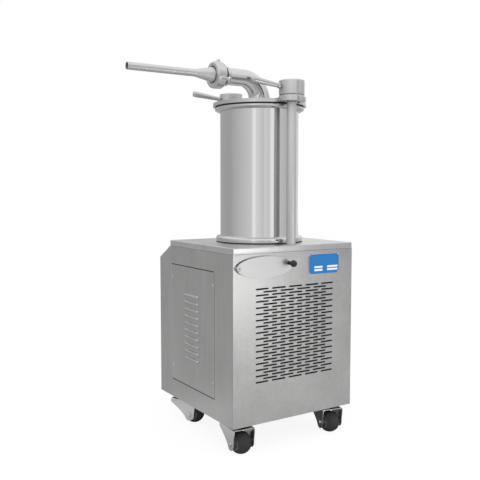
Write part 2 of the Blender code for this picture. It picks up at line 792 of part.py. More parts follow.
def build_lever():
    """Make the control lever: oval plate, pivot, stem and ball knob."""
    pivot_x = -SIDE + LEVER_PIVOT_INSET
    pivot_z = TOP - LEVER_DROP
    axis = empty("lever_axis", (pivot_x, FRONT, pivot_z), MACHINE)
    bushing_end = GAP + LEVER_STANDOFF
    plate_back = bushing_end + GAP
    plate_front = plate_back + LEVER_SHEET

    half = LEVER_LENGTH / 2
    middle = LEVER_INSET + half - LEVER_PIVOT_INSET
    oval = []
    for across, along in circle(ORIGIN, 1, LEVER_POINTS):
        oval.append((middle + across * half, along * LEVER_HEIGHT / 2))
    knob_x = KNOB_INSET - LEVER_PIVOT_INSET
    knob_z = LEVER_DROP - KNOB_DROP
    holes = [
        circle(ORIGIN, PIVOT_SHANK_RADIUS + RUNNING_GAP, TINY_STEPS),
        circle((knob_x, knob_z), STEM_RADIUS + GAP, TINY_STEPS),
    ]
    plate_middle = (0, -(plate_back + plate_front) / 2, 0)
    outlines = [oval] + holes
    plate = cut_sheet("control_lever", outlines, LEVER_SHEET, None, axis, plate_middle, TO_FRONT)
    plate = meshed(plate, "brushed_steel")
    pin_length = plate_back + LEVER_SHEET / 2 + SHEET + LEVER_PIN_DEPTH
    pin_place = (LEVER_PIN_REACH, -plate_back - LEVER_SHEET / 2, 0)
    pin = rod("drive_pin", LEVER_PIN_RADIUS, pin_length, TINY_STEPS, axis, pin_place, TO_REAR)
    combine(plate, pin, "UNION")

    bushing = [
        (BUSHING_RADIUS, bushing_end),
        (BUSHING_RADIUS, GAP),
        (PIVOT_SHANK_RADIUS + GAP, GAP),
        (PIVOT_SHANK_RADIUS + GAP, bushing_end),
    ]
    turned("lever_bushing", bushing, TINY_STEPS, "turned_steel", axis, ORIGIN, TO_FRONT)
    head_bottom = plate_front + GAP
    screw = [
        (0, head_bottom + PIVOT_HEAD_HEIGHT),
        (PIVOT_HEAD_RADIUS * 0.6, head_bottom + PIVOT_HEAD_HEIGHT),
        (PIVOT_HEAD_RADIUS, head_bottom + PIVOT_HEAD_HEIGHT / 2),
        (PIVOT_HEAD_RADIUS, head_bottom),
        (PIVOT_SHANK_RADIUS, head_bottom),
        (PIVOT_SHANK_RADIUS, -SHEET - PIVOT_SHANK_DEPTH),
        (0, -SHEET - PIVOT_SHANK_DEPTH),
    ]
    turned("lever_screw", screw, TINY_STEPS, "turned_steel", axis, ORIGIN, TO_FRONT)

    collar_start = plate_front + GAP
    collar_end = collar_start + STEM_COLLAR_LENGTH
    knob_back = KNOB_REACH - math.sqrt(KNOB_RADIUS**2 - KNOB_FLAT_RADIUS**2)
    stem_end = knob_back + KNOB_BORE_DEPTH - GAP
    stem = [
        (0, stem_end),
        (STEM_RADIUS, stem_end),
        (STEM_RADIUS, collar_end),
        (STEM_COLLAR_RADIUS, collar_end),
        (STEM_COLLAR_RADIUS, collar_start),
        (STEM_RADIUS, collar_start),
        (STEM_RADIUS, plate_back),
        (0, plate_back),
    ]
    knob_place = (knob_x, 0, knob_z)
    turned("knob_stem", stem, TINY_STEPS, "turned_steel", axis, knob_place, TO_FRONT)
    flat_angle = math.acos(KNOB_FLAT_RADIUS / KNOB_RADIUS)
    ball = arc((0, KNOB_REACH), KNOB_RADIUS, QUARTER, -flat_angle, TINY_STEPS // 2 + 1)
    ball[0] = (0, KNOB_REACH + KNOB_RADIUS)
    ball.append((STEM_RADIUS + GAP, knob_back))
    ball.append((STEM_RADIUS + GAP, knob_back + KNOB_BORE_DEPTH))
    ball.append((0, knob_back + KNOB_BORE_DEPTH))
    turned("ball_knob", ball, TINY_STEPS, "knob_plastic", axis, knob_place, TO_FRONT)


def build_meat_cylinder():
    """Turn the meat cylinder with its foot flange, rim ring and pierced floor."""
    gasket = [
        (FOOT_RADIUS, TOP + GAP + GASKET_SHEET),
        (FOOT_RADIUS, TOP + GAP),
        (FOOT_RADIUS - GASKET_WIDTH, TOP + GAP),
        (FOOT_RADIUS - GASKET_WIDTH, TOP + GAP + GASKET_SHEET),
    ]
    turned("base_gasket", gasket, LARGE_STEPS, "seal_rubber", MACHINE)
    foot_top = CYLINDER_BASE + FOOT_HEIGHT
    rim_bottom = RIM_TOP - RIM_HEIGHT
    hole = BARREL_BORE_RADIUS + GAP
    profile = [
        (RIM_RADIUS, RIM_TOP),
        (RIM_RADIUS, rim_bottom + RIM_CHAMFER),
        (CYLINDER_RADIUS + RIM_CHAMFER, rim_bottom),
        (CYLINDER_RADIUS, rim_bottom),
        (CYLINDER_RADIUS, foot_top),
        (FOOT_RADIUS - FOOT_ROUNDING, foot_top),
        (FOOT_RADIUS, foot_top - FOOT_ROUNDING),
        (FOOT_RADIUS, CYLINDER_BASE),
        (hole, CYLINDER_BASE),
        (hole, FLOOR_TOP),
        (BORE_RADIUS, FLOOR_TOP),
        (BORE_RADIUS, RIM_TOP),
    ]
    turned("meat_cylinder", profile, LARGE_STEPS, "polished_steel", MACHINE)


def build_columns():
    """Turn both tie columns, with a stud at each end."""
    shoulder = LID_BOTTOM - GAP
    stud_top = LID_TOP + STUD_HEIGHT
    stud_bottom = YOKE_TOP - YOKE_SHEET
    profile = [
        (0, stud_top),
        (STUD_RADIUS - STUD_CHAMFER, stud_top),
        (STUD_RADIUS, stud_top - STUD_CHAMFER),
        (STUD_RADIUS, shoulder),
        (COLUMN_RADIUS - COLUMN_CHAMFER, shoulder),
        (COLUMN_RADIUS, shoulder - COLUMN_CHAMFER),
        (COLUMN_RADIUS, TOP + GAP),
        (STUD_RADIUS, TOP + GAP),
        (STUD_RADIUS, stud_bottom),
        (0, stud_bottom),
    ]
    for name, depth in (("front_column", -COLUMN_OFFSET), ("rear_column", COLUMN_OFFSET)):
        turned(name, profile, SMALL_STEPS, "turned_steel", MACHINE, (0, depth, 0))


def ear_fillet_points(side):
    """Return the fillet centre and its two tangent points beside a front or rear ear.

    side is +1 for the rear ear and -1 for the front one; the fillet lies at +X.
    """
    to_fillet = LID_RADIUS + EAR_FILLET
    ear_to_fillet = EAR_RADIUS + EAR_FILLET
    along = (to_fillet**2 + COLUMN_OFFSET**2 - ear_to_fillet**2) / (2 * COLUMN_OFFSET)
    across = math.sqrt(to_fillet**2 - along**2)
    return across, side * along


def lid_outline():
    """Return the lid's outline: disc, two ears and the fillets between them."""
    across, along = ear_fillet_points(1)
    disc_angle = math.atan2(along, across)
    ear_angle = math.atan2(along - COLUMN_OFFSET, across)
    rear = (0, COLUMN_OFFSET)
    front = (0, -COLUMN_OFFSET)
    back_turn = math.pi
    points = arc(ORIGIN, LID_RADIUS, -disc_angle, disc_angle, 14)
    points += arc((across, along), EAR_FILLET, disc_angle - back_turn, ear_angle - back_turn, 3)[1:]
    points += arc(rear, EAR_RADIUS, ear_angle, math.pi - ear_angle, 10)[1:]
    points += arc((-across, along), EAR_FILLET, -ear_angle, -disc_angle, 3)[1:]
    points += arc(ORIGIN, LID_RADIUS, math.pi - disc_angle, math.pi + disc_angle, 14)[1:]
    points += arc((-across, -along), EAR_FILLET, disc_angle, ear_angle, 3)[1:]
    points += arc(front, EAR_RADIUS, math.pi + ear_angle, 2 * math.pi - ear_angle, 10)[1:]
    points += arc((across, -along), EAR_FILLET, math.pi - ear_angle, math.pi - disc_angle, 3)[1:-1]
    return points


def build_lid(hinge):
    """Make the lid, its gasket, the outlet elbow and the outlet ferrule."""
    lid_centre = Vector((0, -COLUMN_OFFSET, 0))
    stud_hole = STUD_RADIUS + RUNNING_GAP
    outlines = [
        lid_outline(),
        circle((0, COLUMN_OFFSET), stud_hole, SMALL_STEPS),
        circle(ORIGIN, ELBOW_BASE_RADIUS - ELBOW_WALL, SMALL_STEPS),
    ]
    middle = lid_centre + Vector((0, 0, (LID_BOTTOM + LID_TOP) / 2))
    lid = meshed(cut_sheet("lid", outlines, LID_SHEET, None, hinge, middle), "brushed_steel")
    mouth = EAR_RADIUS + OVERRUN
    slot = arc((0, -COLUMN_OFFSET), stud_hole, QUARTER, 3 * QUARTER, TINY_STEPS // 2)
    slot.append((mouth, -COLUMN_OFFSET - stud_hole))
    slot.append((mouth, -COLUMN_OFFSET + stud_hole + EAR_SLOT_FLARE))
    slot_cutter = cut_sheet("ear_slot", [slot], LID_SHEET + 2 * OVERRUN, None, hinge, middle)
    combine(lid, meshed(slot_cutter, None), "DIFFERENCE")

    gasket_top = LID_BOTTOM - GAP
    gasket = [
        (RIM_RADIUS - RUNNING_GAP, gasket_top),
        (RIM_RADIUS - RUNNING_GAP, gasket_top - LID_GASKET_SHEET),
        (RIM_RADIUS - LID_GASKET_WIDTH, gasket_top - LID_GASKET_SHEET),
        (RIM_RADIUS - LID_GASKET_WIDTH, gasket_top),
    ]
    turned("lid_gasket", gasket, LARGE_STEPS, "seal_rubber", hinge, lid_centre)

    def elbow_route(extra):
        """Return the elbow's centre line, longer by extra at both ends."""
        base = LID_TOP + GAP
        points = [(0, 0, base - extra)]
        bend = (-ELBOW_BEND_RADIUS, base + ELBOW_RISER)
        for across, along in arc(bend, ELBOW_BEND_RADIUS, 0, QUARTER, ELBOW_BEND_POINTS):
            points.append((across, 0, along))
        points.append((-FERRULE_END - extra, 0, OUTLET_HEIGHT))
        return points

    def elbow_radii(wall):
        """Return the radius at each point of the route, tapering round the bend."""
        radii = [ELBOW_BASE_RADIUS - wall]
        taper = ELBOW_BASE_RADIUS - ELBOW_OUTLET_RADIUS
        for index in range(ELBOW_BEND_POINTS + 1):
            radii.append(ELBOW_BASE_RADIUS - wall - taper * index / ELBOW_BEND_POINTS)
        radii.append(ELBOW_OUTLET_RADIUS - wall)
        return radii

    route = elbow_route(0)
    elbow = tube("outlet_elbow", route, elbow_radii(0), ELBOW_RESOLUTION, None, hinge, lid_centre)
    elbow = meshed(elbow, "polished_steel")
    route = elbow_route(OVERRUN)
    bore_radii = elbow_radii(ELBOW_WALL)
    bore = tube("elbow_bore", route, bore_radii, ELBOW_RESOLUTION, None, hinge, lid_centre)
    combine(elbow, meshed(bore, None), "DIFFERENCE")

    ferrule_bore = (ELBOW_OUTLET_RADIUS + GAP) / math.cos(math.pi / MEDIUM_STEPS)
    step = FERRULE_START + FERRULE_FLANGE
    ferrule = [
        (FERRULE_THREAD_RADIUS, FERRULE_END),
        (FERRULE_THREAD_RADIUS, step),
        (FERRULE_FLANGE_RADIUS, step),
        (FERRULE_FLANGE_RADIUS, FERRULE_START),
        (ferrule_bore, FERRULE_START),
        (ferrule_bore, FERRULE_END),
    ]
    outlet = lid_centre + Vector((0, 0, OUTLET_HEIGHT))
    turned("outlet_ferrule", ferrule, MEDIUM_STEPS, "turned_steel", hinge, outlet, TO_LEFT)
    return outlet


def build_nozzle(hinge, outlet):
    """Turn the nozzle and its gasket, and the coupling nut that holds them."""
    flange_radius = FERRULE_THREAD_RADIUS
    flange_end = NOZZLE_FLANGE_START + NOZZLE_FLANGE
    gasket = [
        (flange_radius, NOZZLE_FLANGE_START - GAP),
        (flange_radius, FERRULE_END + GAP),
        (ELBOW_OUTLET_RADIUS - ELBOW_WALL, FERRULE_END + GAP),
        (ELBOW_OUTLET_RADIUS - ELBOW_WALL, NOZZLE_FLANGE_START - GAP),
    ]
    turned("nozzle_gasket", gasket, MEDIUM_STEPS, "white_seal", hinge, outlet, TO_LEFT)
    nozzle = [
        (NOZZLE_TUBE_RADIUS, NOZZLE_REACH),
        (NOZZLE_TUBE_RADIUS, NOZZLE_CONE_END),
        (NOZZLE_MOUTH_RADIUS, flange_end + NUT_LIP),
        (NOZZLE_MOUTH_RADIUS, flange_end),
        (flange_radius, flange_end),
        (flange_radius, NOZZLE_FLANGE_START),
        (NOZZLE_MOUTH_RADIUS - NOZZLE_WALL, NOZZLE_FLANGE_START),
        (NOZZLE_MOUTH_RADIUS - NOZZLE_WALL, flange_end + NUT_LIP),
        (NOZZLE_TUBE_RADIUS - NOZZLE_WALL, NOZZLE_CONE_END),
        (NOZZLE_TUBE_RADIUS - NOZZLE_WALL, NOZZLE_REACH),
    ]
    turned("nozzle", nozzle, MEDIUM_STEPS, "polished_steel", hinge, outlet, TO_LEFT)

    bore = FERRULE_THREAD_RADIUS + RUNNING_GAP
    lip_start = flange_end + GAP
    nut = [
        (NUT_RADIUS - NUT_CHAMFER, NUT_END),
        (NUT_RADIUS, NUT_END - NUT_CHAMFER),
        (NUT_RADIUS, NUT_START),
        (bore, NUT_START),
        (bore, lip_start),
        (NUT_MOUTH_RADIUS, lip_start),
        (NUT_MOUTH_RADIUS, NUT_END),
    ]
    coupling = turned("coupling_nut", nut, MEDIUM_STEPS, "turned_steel", hinge, outlet, TO_LEFT)
    crest = NUT_RADIUS + LUG_HEIGHT
    root = NUT_RADIUS - LUG_ROOT
    outline = [
        (root, NUT_START + GAP),
        (crest, NUT_START + GAP),
        (crest, NUT_START + LUG_LENGTH * LUG_CREST_SHARE),
        (NUT_RADIUS, NUT_START + LUG_LENGTH),
        (root, NUT_START + LUG_LENGTH),
    ]
    for index in range(LUG_COUNT):
        axis = empty(f"lug_axis_{index + 1}", outlet, hinge, TO_LEFT)
        turn = LUG_FIRST_TURN + 2 * math.pi * index / LUG_COUNT
        lug = cut_sheet(f"lug_{index + 1}", [outline], LUG_WIDTH, None, axis, ORIGIN, UPRIGHT)
        lug.rotation_euler = (Matrix.Rotation(turn, 3, "Z") @ Matrix.Rotation(QUARTER, 3, "X")).to_euler()
        combine(coupling, meshed(lug, None), "UNION")


def build_hand_nut(side, depth, heading):
    """Turn one column's clamp collar and hand nut, and fit the bar handle."""
    axis = empty(f"{side}_nut_axis", (0, depth, 0), MACHINE)
    collar_top = COLLAR_BOTTOM + COLLAR_HEIGHT
    bore = STUD_RADIUS + RUNNING_GAP
    collar = [
        (COLLAR_RADIUS, collar_top),
        (COLLAR_RADIUS, COLLAR_BOTTOM + COLLAR_FLARE),
        (COLLAR_RADIUS + COLLAR_FLARE, COLLAR_BOTTOM),
        (bore, COLLAR_BOTTOM),
        (bore, collar_top),
    ]
    turned(f"{side}_clamp_collar", collar, MEDIUM_STEPS, "turned_steel", axis)
    top = HAND_NUT_BOTTOM + HAND_NUT_HEIGHT
    bore_top = LID_TOP + STUD_HEIGHT + GAP
    nut = [
        (0, top),
        (HAND_NUT_RADIUS - HAND_NUT_CHAMFER, top),
        (HAND_NUT_RADIUS, top - HAND_NUT_CHAMFER),
        (HAND_NUT_RADIUS, HAND_NUT_BOTTOM),
        (bore, HAND_NUT_BOTTOM),
        (bore, bore_top),
        (0, bore_top),
    ]
    body = turned(f"{side}_hand_nut", nut, MEDIUM_STEPS, "turned_steel", axis)
    seat = (0, 0, HAND_NUT_BOTTOM + HANDLE_HEIGHT)
    handle_axis = empty(f"{side}_handle_axis", seat, axis, (0, -HANDLE_RISE, heading))
    start = (HAND_NUT_RADIUS - HANDLE_SOCKET_DEPTH) / math.cos(HANDLE_RISE)
    socket_radius = HANDLE_ROOT_RADIUS + GAP
    place = (start - GAP, 0, 0)
    socket = rod(f"{side}_socket", socket_radius, HANDLE_REACH, TINY_STEPS, handle_axis, place, TO_RIGHT)
    combine(body, socket, "DIFFERENCE")

    skin = HAND_NUT_RADIUS / math.cos(HANDLE_RISE) + HANDLE_COLLAR_RADIUS * math.tan(HANDLE_RISE) + GAP
    reach = HANDLE_REACH / math.cos(HANDLE_RISE)
    collar_end = skin + HANDLE_COLLAR_LENGTH
    round_start = reach - HANDLE_TIP_RADIUS / 2
    handle = [(HANDLE_TIP_RADIUS * 0.6, reach), (HANDLE_TIP_RADIUS, round_start)]
    handle.append((HANDLE_ROOT_RADIUS, collar_end + HANDLE_COLLAR_LENGTH))
    handle.append((HANDLE_COLLAR_RADIUS, collar_end))
    handle.append((HANDLE_COLLAR_RADIUS, skin))
    handle.append((HANDLE_ROOT_RADIUS, skin))
    handle.append((HANDLE_ROOT_RADIUS, start))
    handle.append((0, start))
    handle.insert(0, (0, reach))
    turned(f"{side}_handle", handle, TINY_STEPS, "turned_steel", handle_axis, ORIGIN, TO_RIGHT)


def build_piston():
    """Turn the meat piston, its seal and the rod with the hydraulic head."""
    radius = BORE_RADIUS - PISTON_CLEARANCE
    seal_middle = (PISTON_BOTTOM + PISTON_TOP) / 2
    groove_low = seal_middle - SEAL_HEIGHT / 2
    groove_high = seal_middle + SEAL_HEIGHT / 2
    groove = radius - SEAL_DEPTH
    spigot = ROD_SPIGOT_RADIUS + GAP
    spigot_top = PISTON_BOTTOM + ROD_SPIGOT_HEIGHT
    disc = [
        (0, PISTON_TOP),
        (radius - PISTON_CHAMFER, PISTON_TOP),
        (radius, PISTON_TOP - PISTON_CHAMFER),
        (radius, groove_high),
        (groove, groove_high),
        (groove, groove_low),
        (radius, groove_low),
        (radius, PISTON_BOTTOM),
        (spigot, PISTON_BOTTOM),
        (spigot, spigot_top),
        (0, spigot_top),
    ]
    turned("piston_disc", disc, LARGE_STEPS, "turned_steel", MACHINE)
    seal = [
        (BORE_RADIUS - SEAL_CLEARANCE, groove_high - GAP),
        (BORE_RADIUS - SEAL_CLEARANCE, groove_low + GAP),
        (groove + GAP, groove_low + GAP),
        (groove + GAP, groove_high - GAP),
    ]
    turned("piston_seal", seal, LARGE_STEPS, "white_seal", MACHINE)
    rod_top = PISTON_BOTTOM - GAP
    head_bottom = YOKE_TOP - BARREL_LENGTH + BARREL_FLOOR + HEAD_REST
    head_top = head_bottom + ROD_HEAD_HEIGHT
    head_radius = BARREL_BORE_RADIUS - RUNNING_GAP
    profile = [
        (0, spigot_top - GAP),
        (ROD_SPIGOT_RADIUS, spigot_top - GAP),
        (ROD_SPIGOT_RADIUS, rod_top),
        (ROD_RADIUS, rod_top),
        (ROD_RADIUS, head_top),
        (head_radius, head_top),
        (head_radius, head_bottom),
        (0, head_bottom),
    ]
    turned("piston_rod", profile, MEDIUM_STEPS, "bright_rod", MACHINE)


def build_barrel():
    """Weld the hydraulic barrel to its yoke plate and turn the rod gland."""
    outer = BARREL_BORE_RADIUS + BARREL_WALL
    bottom = YOKE_TOP - BARREL_LENGTH
    yoke_bottom = YOKE_TOP - YOKE_SHEET
    outer_profile = [
        (0, yoke_bottom + YOKE_SHEET / 2),
        (outer, yoke_bottom + YOKE_SHEET / 2),
        (outer, bottom),
        (0, bottom),
    ]
    half_width = YOKE_WIDTH / 2
    half_length = YOKE_LENGTH / 2
    low = (-half_width, -half_length, yoke_bottom)
    high = (half_width, half_length, YOKE_TOP)
    barrel = box("hydraulic_barrel", low, high, "machine_paint", MACHINE)
    tube_solid = turned("barrel_tube", outer_profile, MEDIUM_STEPS, None, MACHINE)
    combine(barrel, tube_solid, "UNION")
    reach = outer + PORT_REACH
    ports = [
        ("low_port", bottom + PORT_LOW_HEIGHT, TO_FRONT),
        ("high_port", yoke_bottom - PORT_HIGH_DROP, TO_LEFT),
    ]
    for name, height, way in ports:
        combine(barrel, rod(name, PORT_RADIUS, reach, TINY_STEPS, MACHINE, (0, 0, height), way), "UNION")
    bore_length = BARREL_LENGTH - BARREL_FLOOR + OVERRUN
    place = (0, 0, bottom + BARREL_FLOOR)
    bore = rod("barrel_bore", BARREL_BORE_RADIUS, bore_length, MEDIUM_STEPS, MACHINE, place)
    combine(barrel, bore, "DIFFERENCE")
    passage_length = reach + OVERRUN
    for name, height, way in ports:
        place = (0, 0, height)
        passage = rod(name + "_bore", PORT_BORE_RADIUS, passage_length, TINY_STEPS, MACHINE, place, way)
        combine(barrel, passage, "DIFFERENCE")
    for name, depth in (("front_yoke_hole", -COLUMN_OFFSET), ("rear_yoke_hole", COLUMN_OFFSET)):
        place = (0, depth, yoke_bottom - OVERRUN)
        hole = rod(name, STUD_RADIUS + GAP, YOKE_SHEET + 2 * OVERRUN, SMALL_STEPS, MACHINE, place)
        combine(barrel, hole, "DIFFERENCE")

    flange_bottom = FLOOR_TOP + GAP
    gland = [
        (GLAND_FLANGE_RADIUS, flange_bottom + GLAND_FLANGE_HEIGHT),
        (GLAND_FLANGE_RADIUS, flange_bottom),
        (BARREL_BORE_RADIUS - GAP, flange_bottom),
        (BARREL_BORE_RADIUS - GAP, yoke_bottom),
        (ROD_RADIUS + RUNNING_GAP, yoke_bottom),
        (ROD_RADIUS + RUNNING_GAP, flange_bottom + GLAND_FLANGE_HEIGHT),
    ]
    turned("rod_gland", gland, MEDIUM_STEPS, "brass", MACHINE)


def smooth_route(knots, count):
    """Return count points along a smooth curve through all knots but the end ones."""
    spans = len(knots) - 3
    route = []
    for index in range(count):
        place = index * spans / (count - 1)
        span = min(int(place), spans - 1)
        share = place - span
        before, start, end, after = knots[span : span + 4]
        route.append(
            (
                2 * start
                + (end - before) * share
                + (2 * before - 5 * start + 4 * end - after) * share**2
                + (3 * start - before - 3 * end + after) * share**3
            )
            / 2
        )
    return route


def hose(name, start, start_way, end, end_way):
    """Run a hose between two faces, leaving each of them square to it."""
    first = Vector(start) + Vector(start_way) * GAP
    last = Vector(end) + Vector(end_way) * GAP
    start_lead = Vector(start_way) * HOSE_LEAD
    end_lead = Vector(end_way) * HOSE_LEAD
    start_stub = first + Vector(start_way) * HOSE_RADIUS
    end_stub = last + Vector(end_way) * HOSE_RADIUS
    lead_start = start_stub + start_lead
    lead_end = end_stub + end_lead
    middle = (lead_start + lead_end) / 2
    before = start_stub - start_lead
    after = end_stub - end_lead
    knots = [before, start_stub, lead_start, middle, lead_end, end_stub, after]
    route = [first] + smooth_route(knots, HOSE_POINTS) + [last]
    radii = [HOSE_RADIUS] * len(route)
    tube(name, route, radii, HOSE_RESOLUTION, "seal_rubber", MACHINE)


def build_power_pack():
    """Make the oil tank, motor, pump, valve block and the hoses between them."""
    base = TRAY_TOP + GAP
    tank_left = TANK_LEFT
    tank_front = FRONT + TANK_FRONT_INSET
    tank_top = base + TANK_HEIGHT
    low = (tank_left, tank_front, base)
    high = (tank_left + TANK_WIDTH, tank_front + TANK_DEPTH, tank_top)
    tank = box("oil_tank", low, high, "tank_plastic", MACHINE, TANK_EDGE_RADIUS)
    filler_x = tank_left + TANK_WIDTH / 2
    filler_place = (filler_x, tank_front + TANK_DEPTH / 2, tank_top - OVERRUN)
    filler = rod("filler_neck", FILLER_RADIUS, FILLER_HEIGHT + OVERRUN, TINY_STEPS, MACHINE, filler_place)
    combine(tank, filler, "UNION")

    motor_x = -MOTOR_OFFSET
    motor_z = base + MOTOR_AXIS_HEIGHT
    pump_right = motor_x + PUMP_WIDTH / 2
    pump_back = MOTOR_START - GAP - BELL_LENGTH
    pump_front = pump_back - PUMP_LENGTH
    pump_middle = (pump_front + pump_back) / 2
    suction_length = tank_left - pump_right - GAP
    suction_place = (tank_left + TANK_EDGE_RADIUS + OVERRUN, pump_middle, motor_z - PIPE_DROP)
    suction = rod(
        "suction_pipe",
        PIPE_RADIUS,
        suction_length + TANK_EDGE_RADIUS + OVERRUN,
        TINY_STEPS,
        MACHINE,
        suction_place,
        TO_LEFT,
    )
    combine(tank, suction, "UNION")

    fins = []
    root = MOTOR_RADIUS - MOTOR_FIN_DEPTH
    fin_step = 2 * math.pi / MOTOR_FINS
    for index in range(MOTOR_FINS):
        for radius, share in ((MOTOR_RADIUS, 0), (MOTOR_RADIUS, 0.3), (root, 0.45), (root, 0.85)):
            angle = (index + share) * fin_step
            fins.append((radius * math.cos(angle), radius * math.sin(angle)))
    middle = (motor_x, MOTOR_START + MOTOR_LENGTH / 2, motor_z)
    motor = cut_sheet("electric_motor", [fins], MOTOR_LENGTH, None, MACHINE, middle, TO_FRONT)
    motor = meshed(motor, "machine_paint")
    cowl_end = MOTOR_START + MOTOR_LENGTH + COWL_LENGTH
    cowl = [
        (0, COWL_LENGTH),
        (MOTOR_RADIUS - COWL_CHAMFER, COWL_LENGTH),
        (MOTOR_RADIUS - MOTOR_FIN_DEPTH / 2, COWL_LENGTH - COWL_CHAMFER),
        (MOTOR_RADIUS - MOTOR_FIN_DEPTH / 2, -OVERRUN),
        (0, -OVERRUN),
    ]
    cowl_place = (motor_x, cowl_end - COWL_LENGTH, motor_z)
    combine(motor, turned("fan_cowl", cowl, SMALL_STEPS, None, MACHINE, cowl_place, TO_REAR), "UNION")
    foot_low = (motor_x - MOTOR_FOOT_WIDTH / 2, MOTOR_START + OVERRUN, base)
    foot_back = MOTOR_START + MOTOR_LENGTH - OVERRUN
    foot_high = (motor_x + MOTOR_FOOT_WIDTH / 2, foot_back, base + MOTOR_FOOT_HEIGHT)
    combine(motor, box("motor_foot", foot_low, foot_high, None, MACHINE), "UNION")

    pump_low = (motor_x - PUMP_WIDTH / 2, pump_front, motor_z - PUMP_HEIGHT / 2)
    pump_high = (pump_right, pump_back + OVERRUN, motor_z + PUMP_HEIGHT / 2)
    pump = box("gear_pump", pump_low, pump_high, "cast_grey", MACHINE)
    bell = [
        (0, BELL_LENGTH),
        (MOTOR_RADIUS, BELL_LENGTH),
        (MOTOR_RADIUS, BELL_LENGTH * 2 / 3),
        (BELL_FRONT_RADIUS, 0),
        (0, 0),
    ]
    bell_place = (motor_x, pump_back, motor_z)
    combine(pump, turned("bell_housing", bell, SMALL_STEPS, None, MACHINE, bell_place, TO_REAR), "UNION")

    pivot_z = TOP - LEVER_DROP
    pin_x = -SIDE + LEVER_PIVOT_INSET + LEVER_PIN_REACH
    valve_front = FRONT + SHEET + GAP
    valve_back = valve_front + VALVE_DEPTH
    valve_low = (pin_x - VALVE_WIDTH / 2, valve_front, TOP - VALVE_DROP - VALVE_HEIGHT)
    valve_high = (pin_x + VALVE_WIDTH / 2, valve_back, TOP - VALVE_DROP)
    valve = box("valve_block", valve_low, valve_high, "cast_grey", MACHINE, VALVE_EDGE_RADIUS)
    travel = LEVER_PIN_REACH * math.sin(LEVER_SWING) + LEVER_PIN_RADIUS + RUNNING_GAP
    half_slot = LEVER_PIN_RADIUS + 2 * RUNNING_GAP
    slot_low = (pin_x - half_slot, valve_front - OVERRUN, pivot_z - travel)
    slot_high = (pin_x + half_slot, valve_front + LEVER_PIN_DEPTH + RUNNING_GAP, pivot_z + travel)
    combine(valve, box("spool_slot", slot_low, slot_high, None, MACHINE), "DIFFERENCE")

    up = (0, 0, 1)
    down = (0, 0, -1)
    front = (0, -1, 0)
    back = (0, 1, 0)
    left = (-1, 0, 0)
    right = (1, 0, 0)
    outer = BARREL_BORE_RADIUS + BARREL_WALL + PORT_REACH
    low_port = (0, -outer, YOKE_TOP - BARREL_LENGTH + PORT_LOW_HEIGHT)
    high_port = (-outer, 0, YOKE_TOP - YOKE_SHEET - PORT_HIGH_DROP)
    valve_middle_y = (valve_front + valve_back) / 2
    quarter_height = VALVE_HEIGHT / 4
    valve_mid_z = TOP - VALVE_DROP - VALVE_HEIGHT / 2
    spread = VALVE_WIDTH / 4
    pump_port = (motor_x, pump_middle, motor_z + PUMP_HEIGHT / 2)
    hose("pressure_hose", pump_port, up, (pin_x - spread, valve_middle_y, valve_low[2]), down)
    hose("lift_hose", (pin_x + spread, valve_back, valve_mid_z - quarter_height), back, low_port, front)
    hose("lowering_hose", (pin_x, valve_back, valve_mid_z + quarter_height), back, high_port, left)
    return_place = (filler_x, tank_front + HOSE_LEAD, tank_top)
    hose("return_hose", (valve_high[0], valve_middle_y, valve_mid_z), right, return_place, up)


def caster_plate_mesh():
    """Return the mesh of a mounting plate, from its middle, with its bearing race."""
    half_length = CASTER_PLATE_LENGTH / 2
    half_width = CASTER_PLATE_WIDTH / 2
    half_sheet = CASTER_PLATE_SHEET / 2
    low = (-half_length, -half_width, -half_sheet)
    plate = box("plate_blank", low, (half_length, half_width, half_sheet), None, None)
    race = [
        (0, 0),
        (RACE_RADIUS, 0),
        (RACE_RADIUS, -half_sheet - RACE_HEIGHT / 3),
        (RACE_LOWER_RADIUS, -half_sheet - RACE_HEIGHT),
        (0, -half_sheet - RACE_HEIGHT),
    ]
    combine(plate, turned("race_blank", race, TINY_STEPS, None, None), "UNION")
    return evaluated_mesh(plate)


def fork_mesh(top):
    """Return the mesh of a fork: a bridge and two legs down to the axle."""
    inner = HUB_LENGTH / 2 + RUNNING_GAP
    outer = inner + FORK_SHEET
    low = (-FORK_LEAD, -outer, top - FORK_SHEET)
    fork = box("fork_blank", low, (FORK_TAIL, outer, top), None, None)
    foot = arc((CASTER_TRAIL, WHEEL_RADIUS), FORK_FOOT_RADIUS, 0, -math.pi, TINY_STEPS // 2)
    bend = top - FORK_SHEET / 2
    skirt = top - FORK_SKIRT
    leg = [(-FORK_LEAD, skirt), (-FORK_LEAD, bend), (FORK_TAIL, bend), (FORK_TAIL, skirt)]
    outlines = [leg + foot, circle((CASTER_TRAIL, WHEEL_RADIUS), AXLE_RADIUS + GAP, AXLE_STEPS)]
    for name, side in (("leg_left", 1), ("leg_right", -1)):
        place = (0, side * (inner + FORK_SHEET / 2), 0)
        leg_sheet = cut_sheet(name, outlines, FORK_SHEET, None, None, place, TO_FRONT)
        combine(fork, meshed(leg_sheet, None), "UNION")
    mesh = evaluated_mesh(fork)
    mesh.transform(Matrix.Translation(fork.location))
    return mesh


def remove_blanks(names):
    """Remove the objects that a shared mesh was made from."""
    for name in names:
        bpy.data.objects.remove(bpy.data.objects[name])


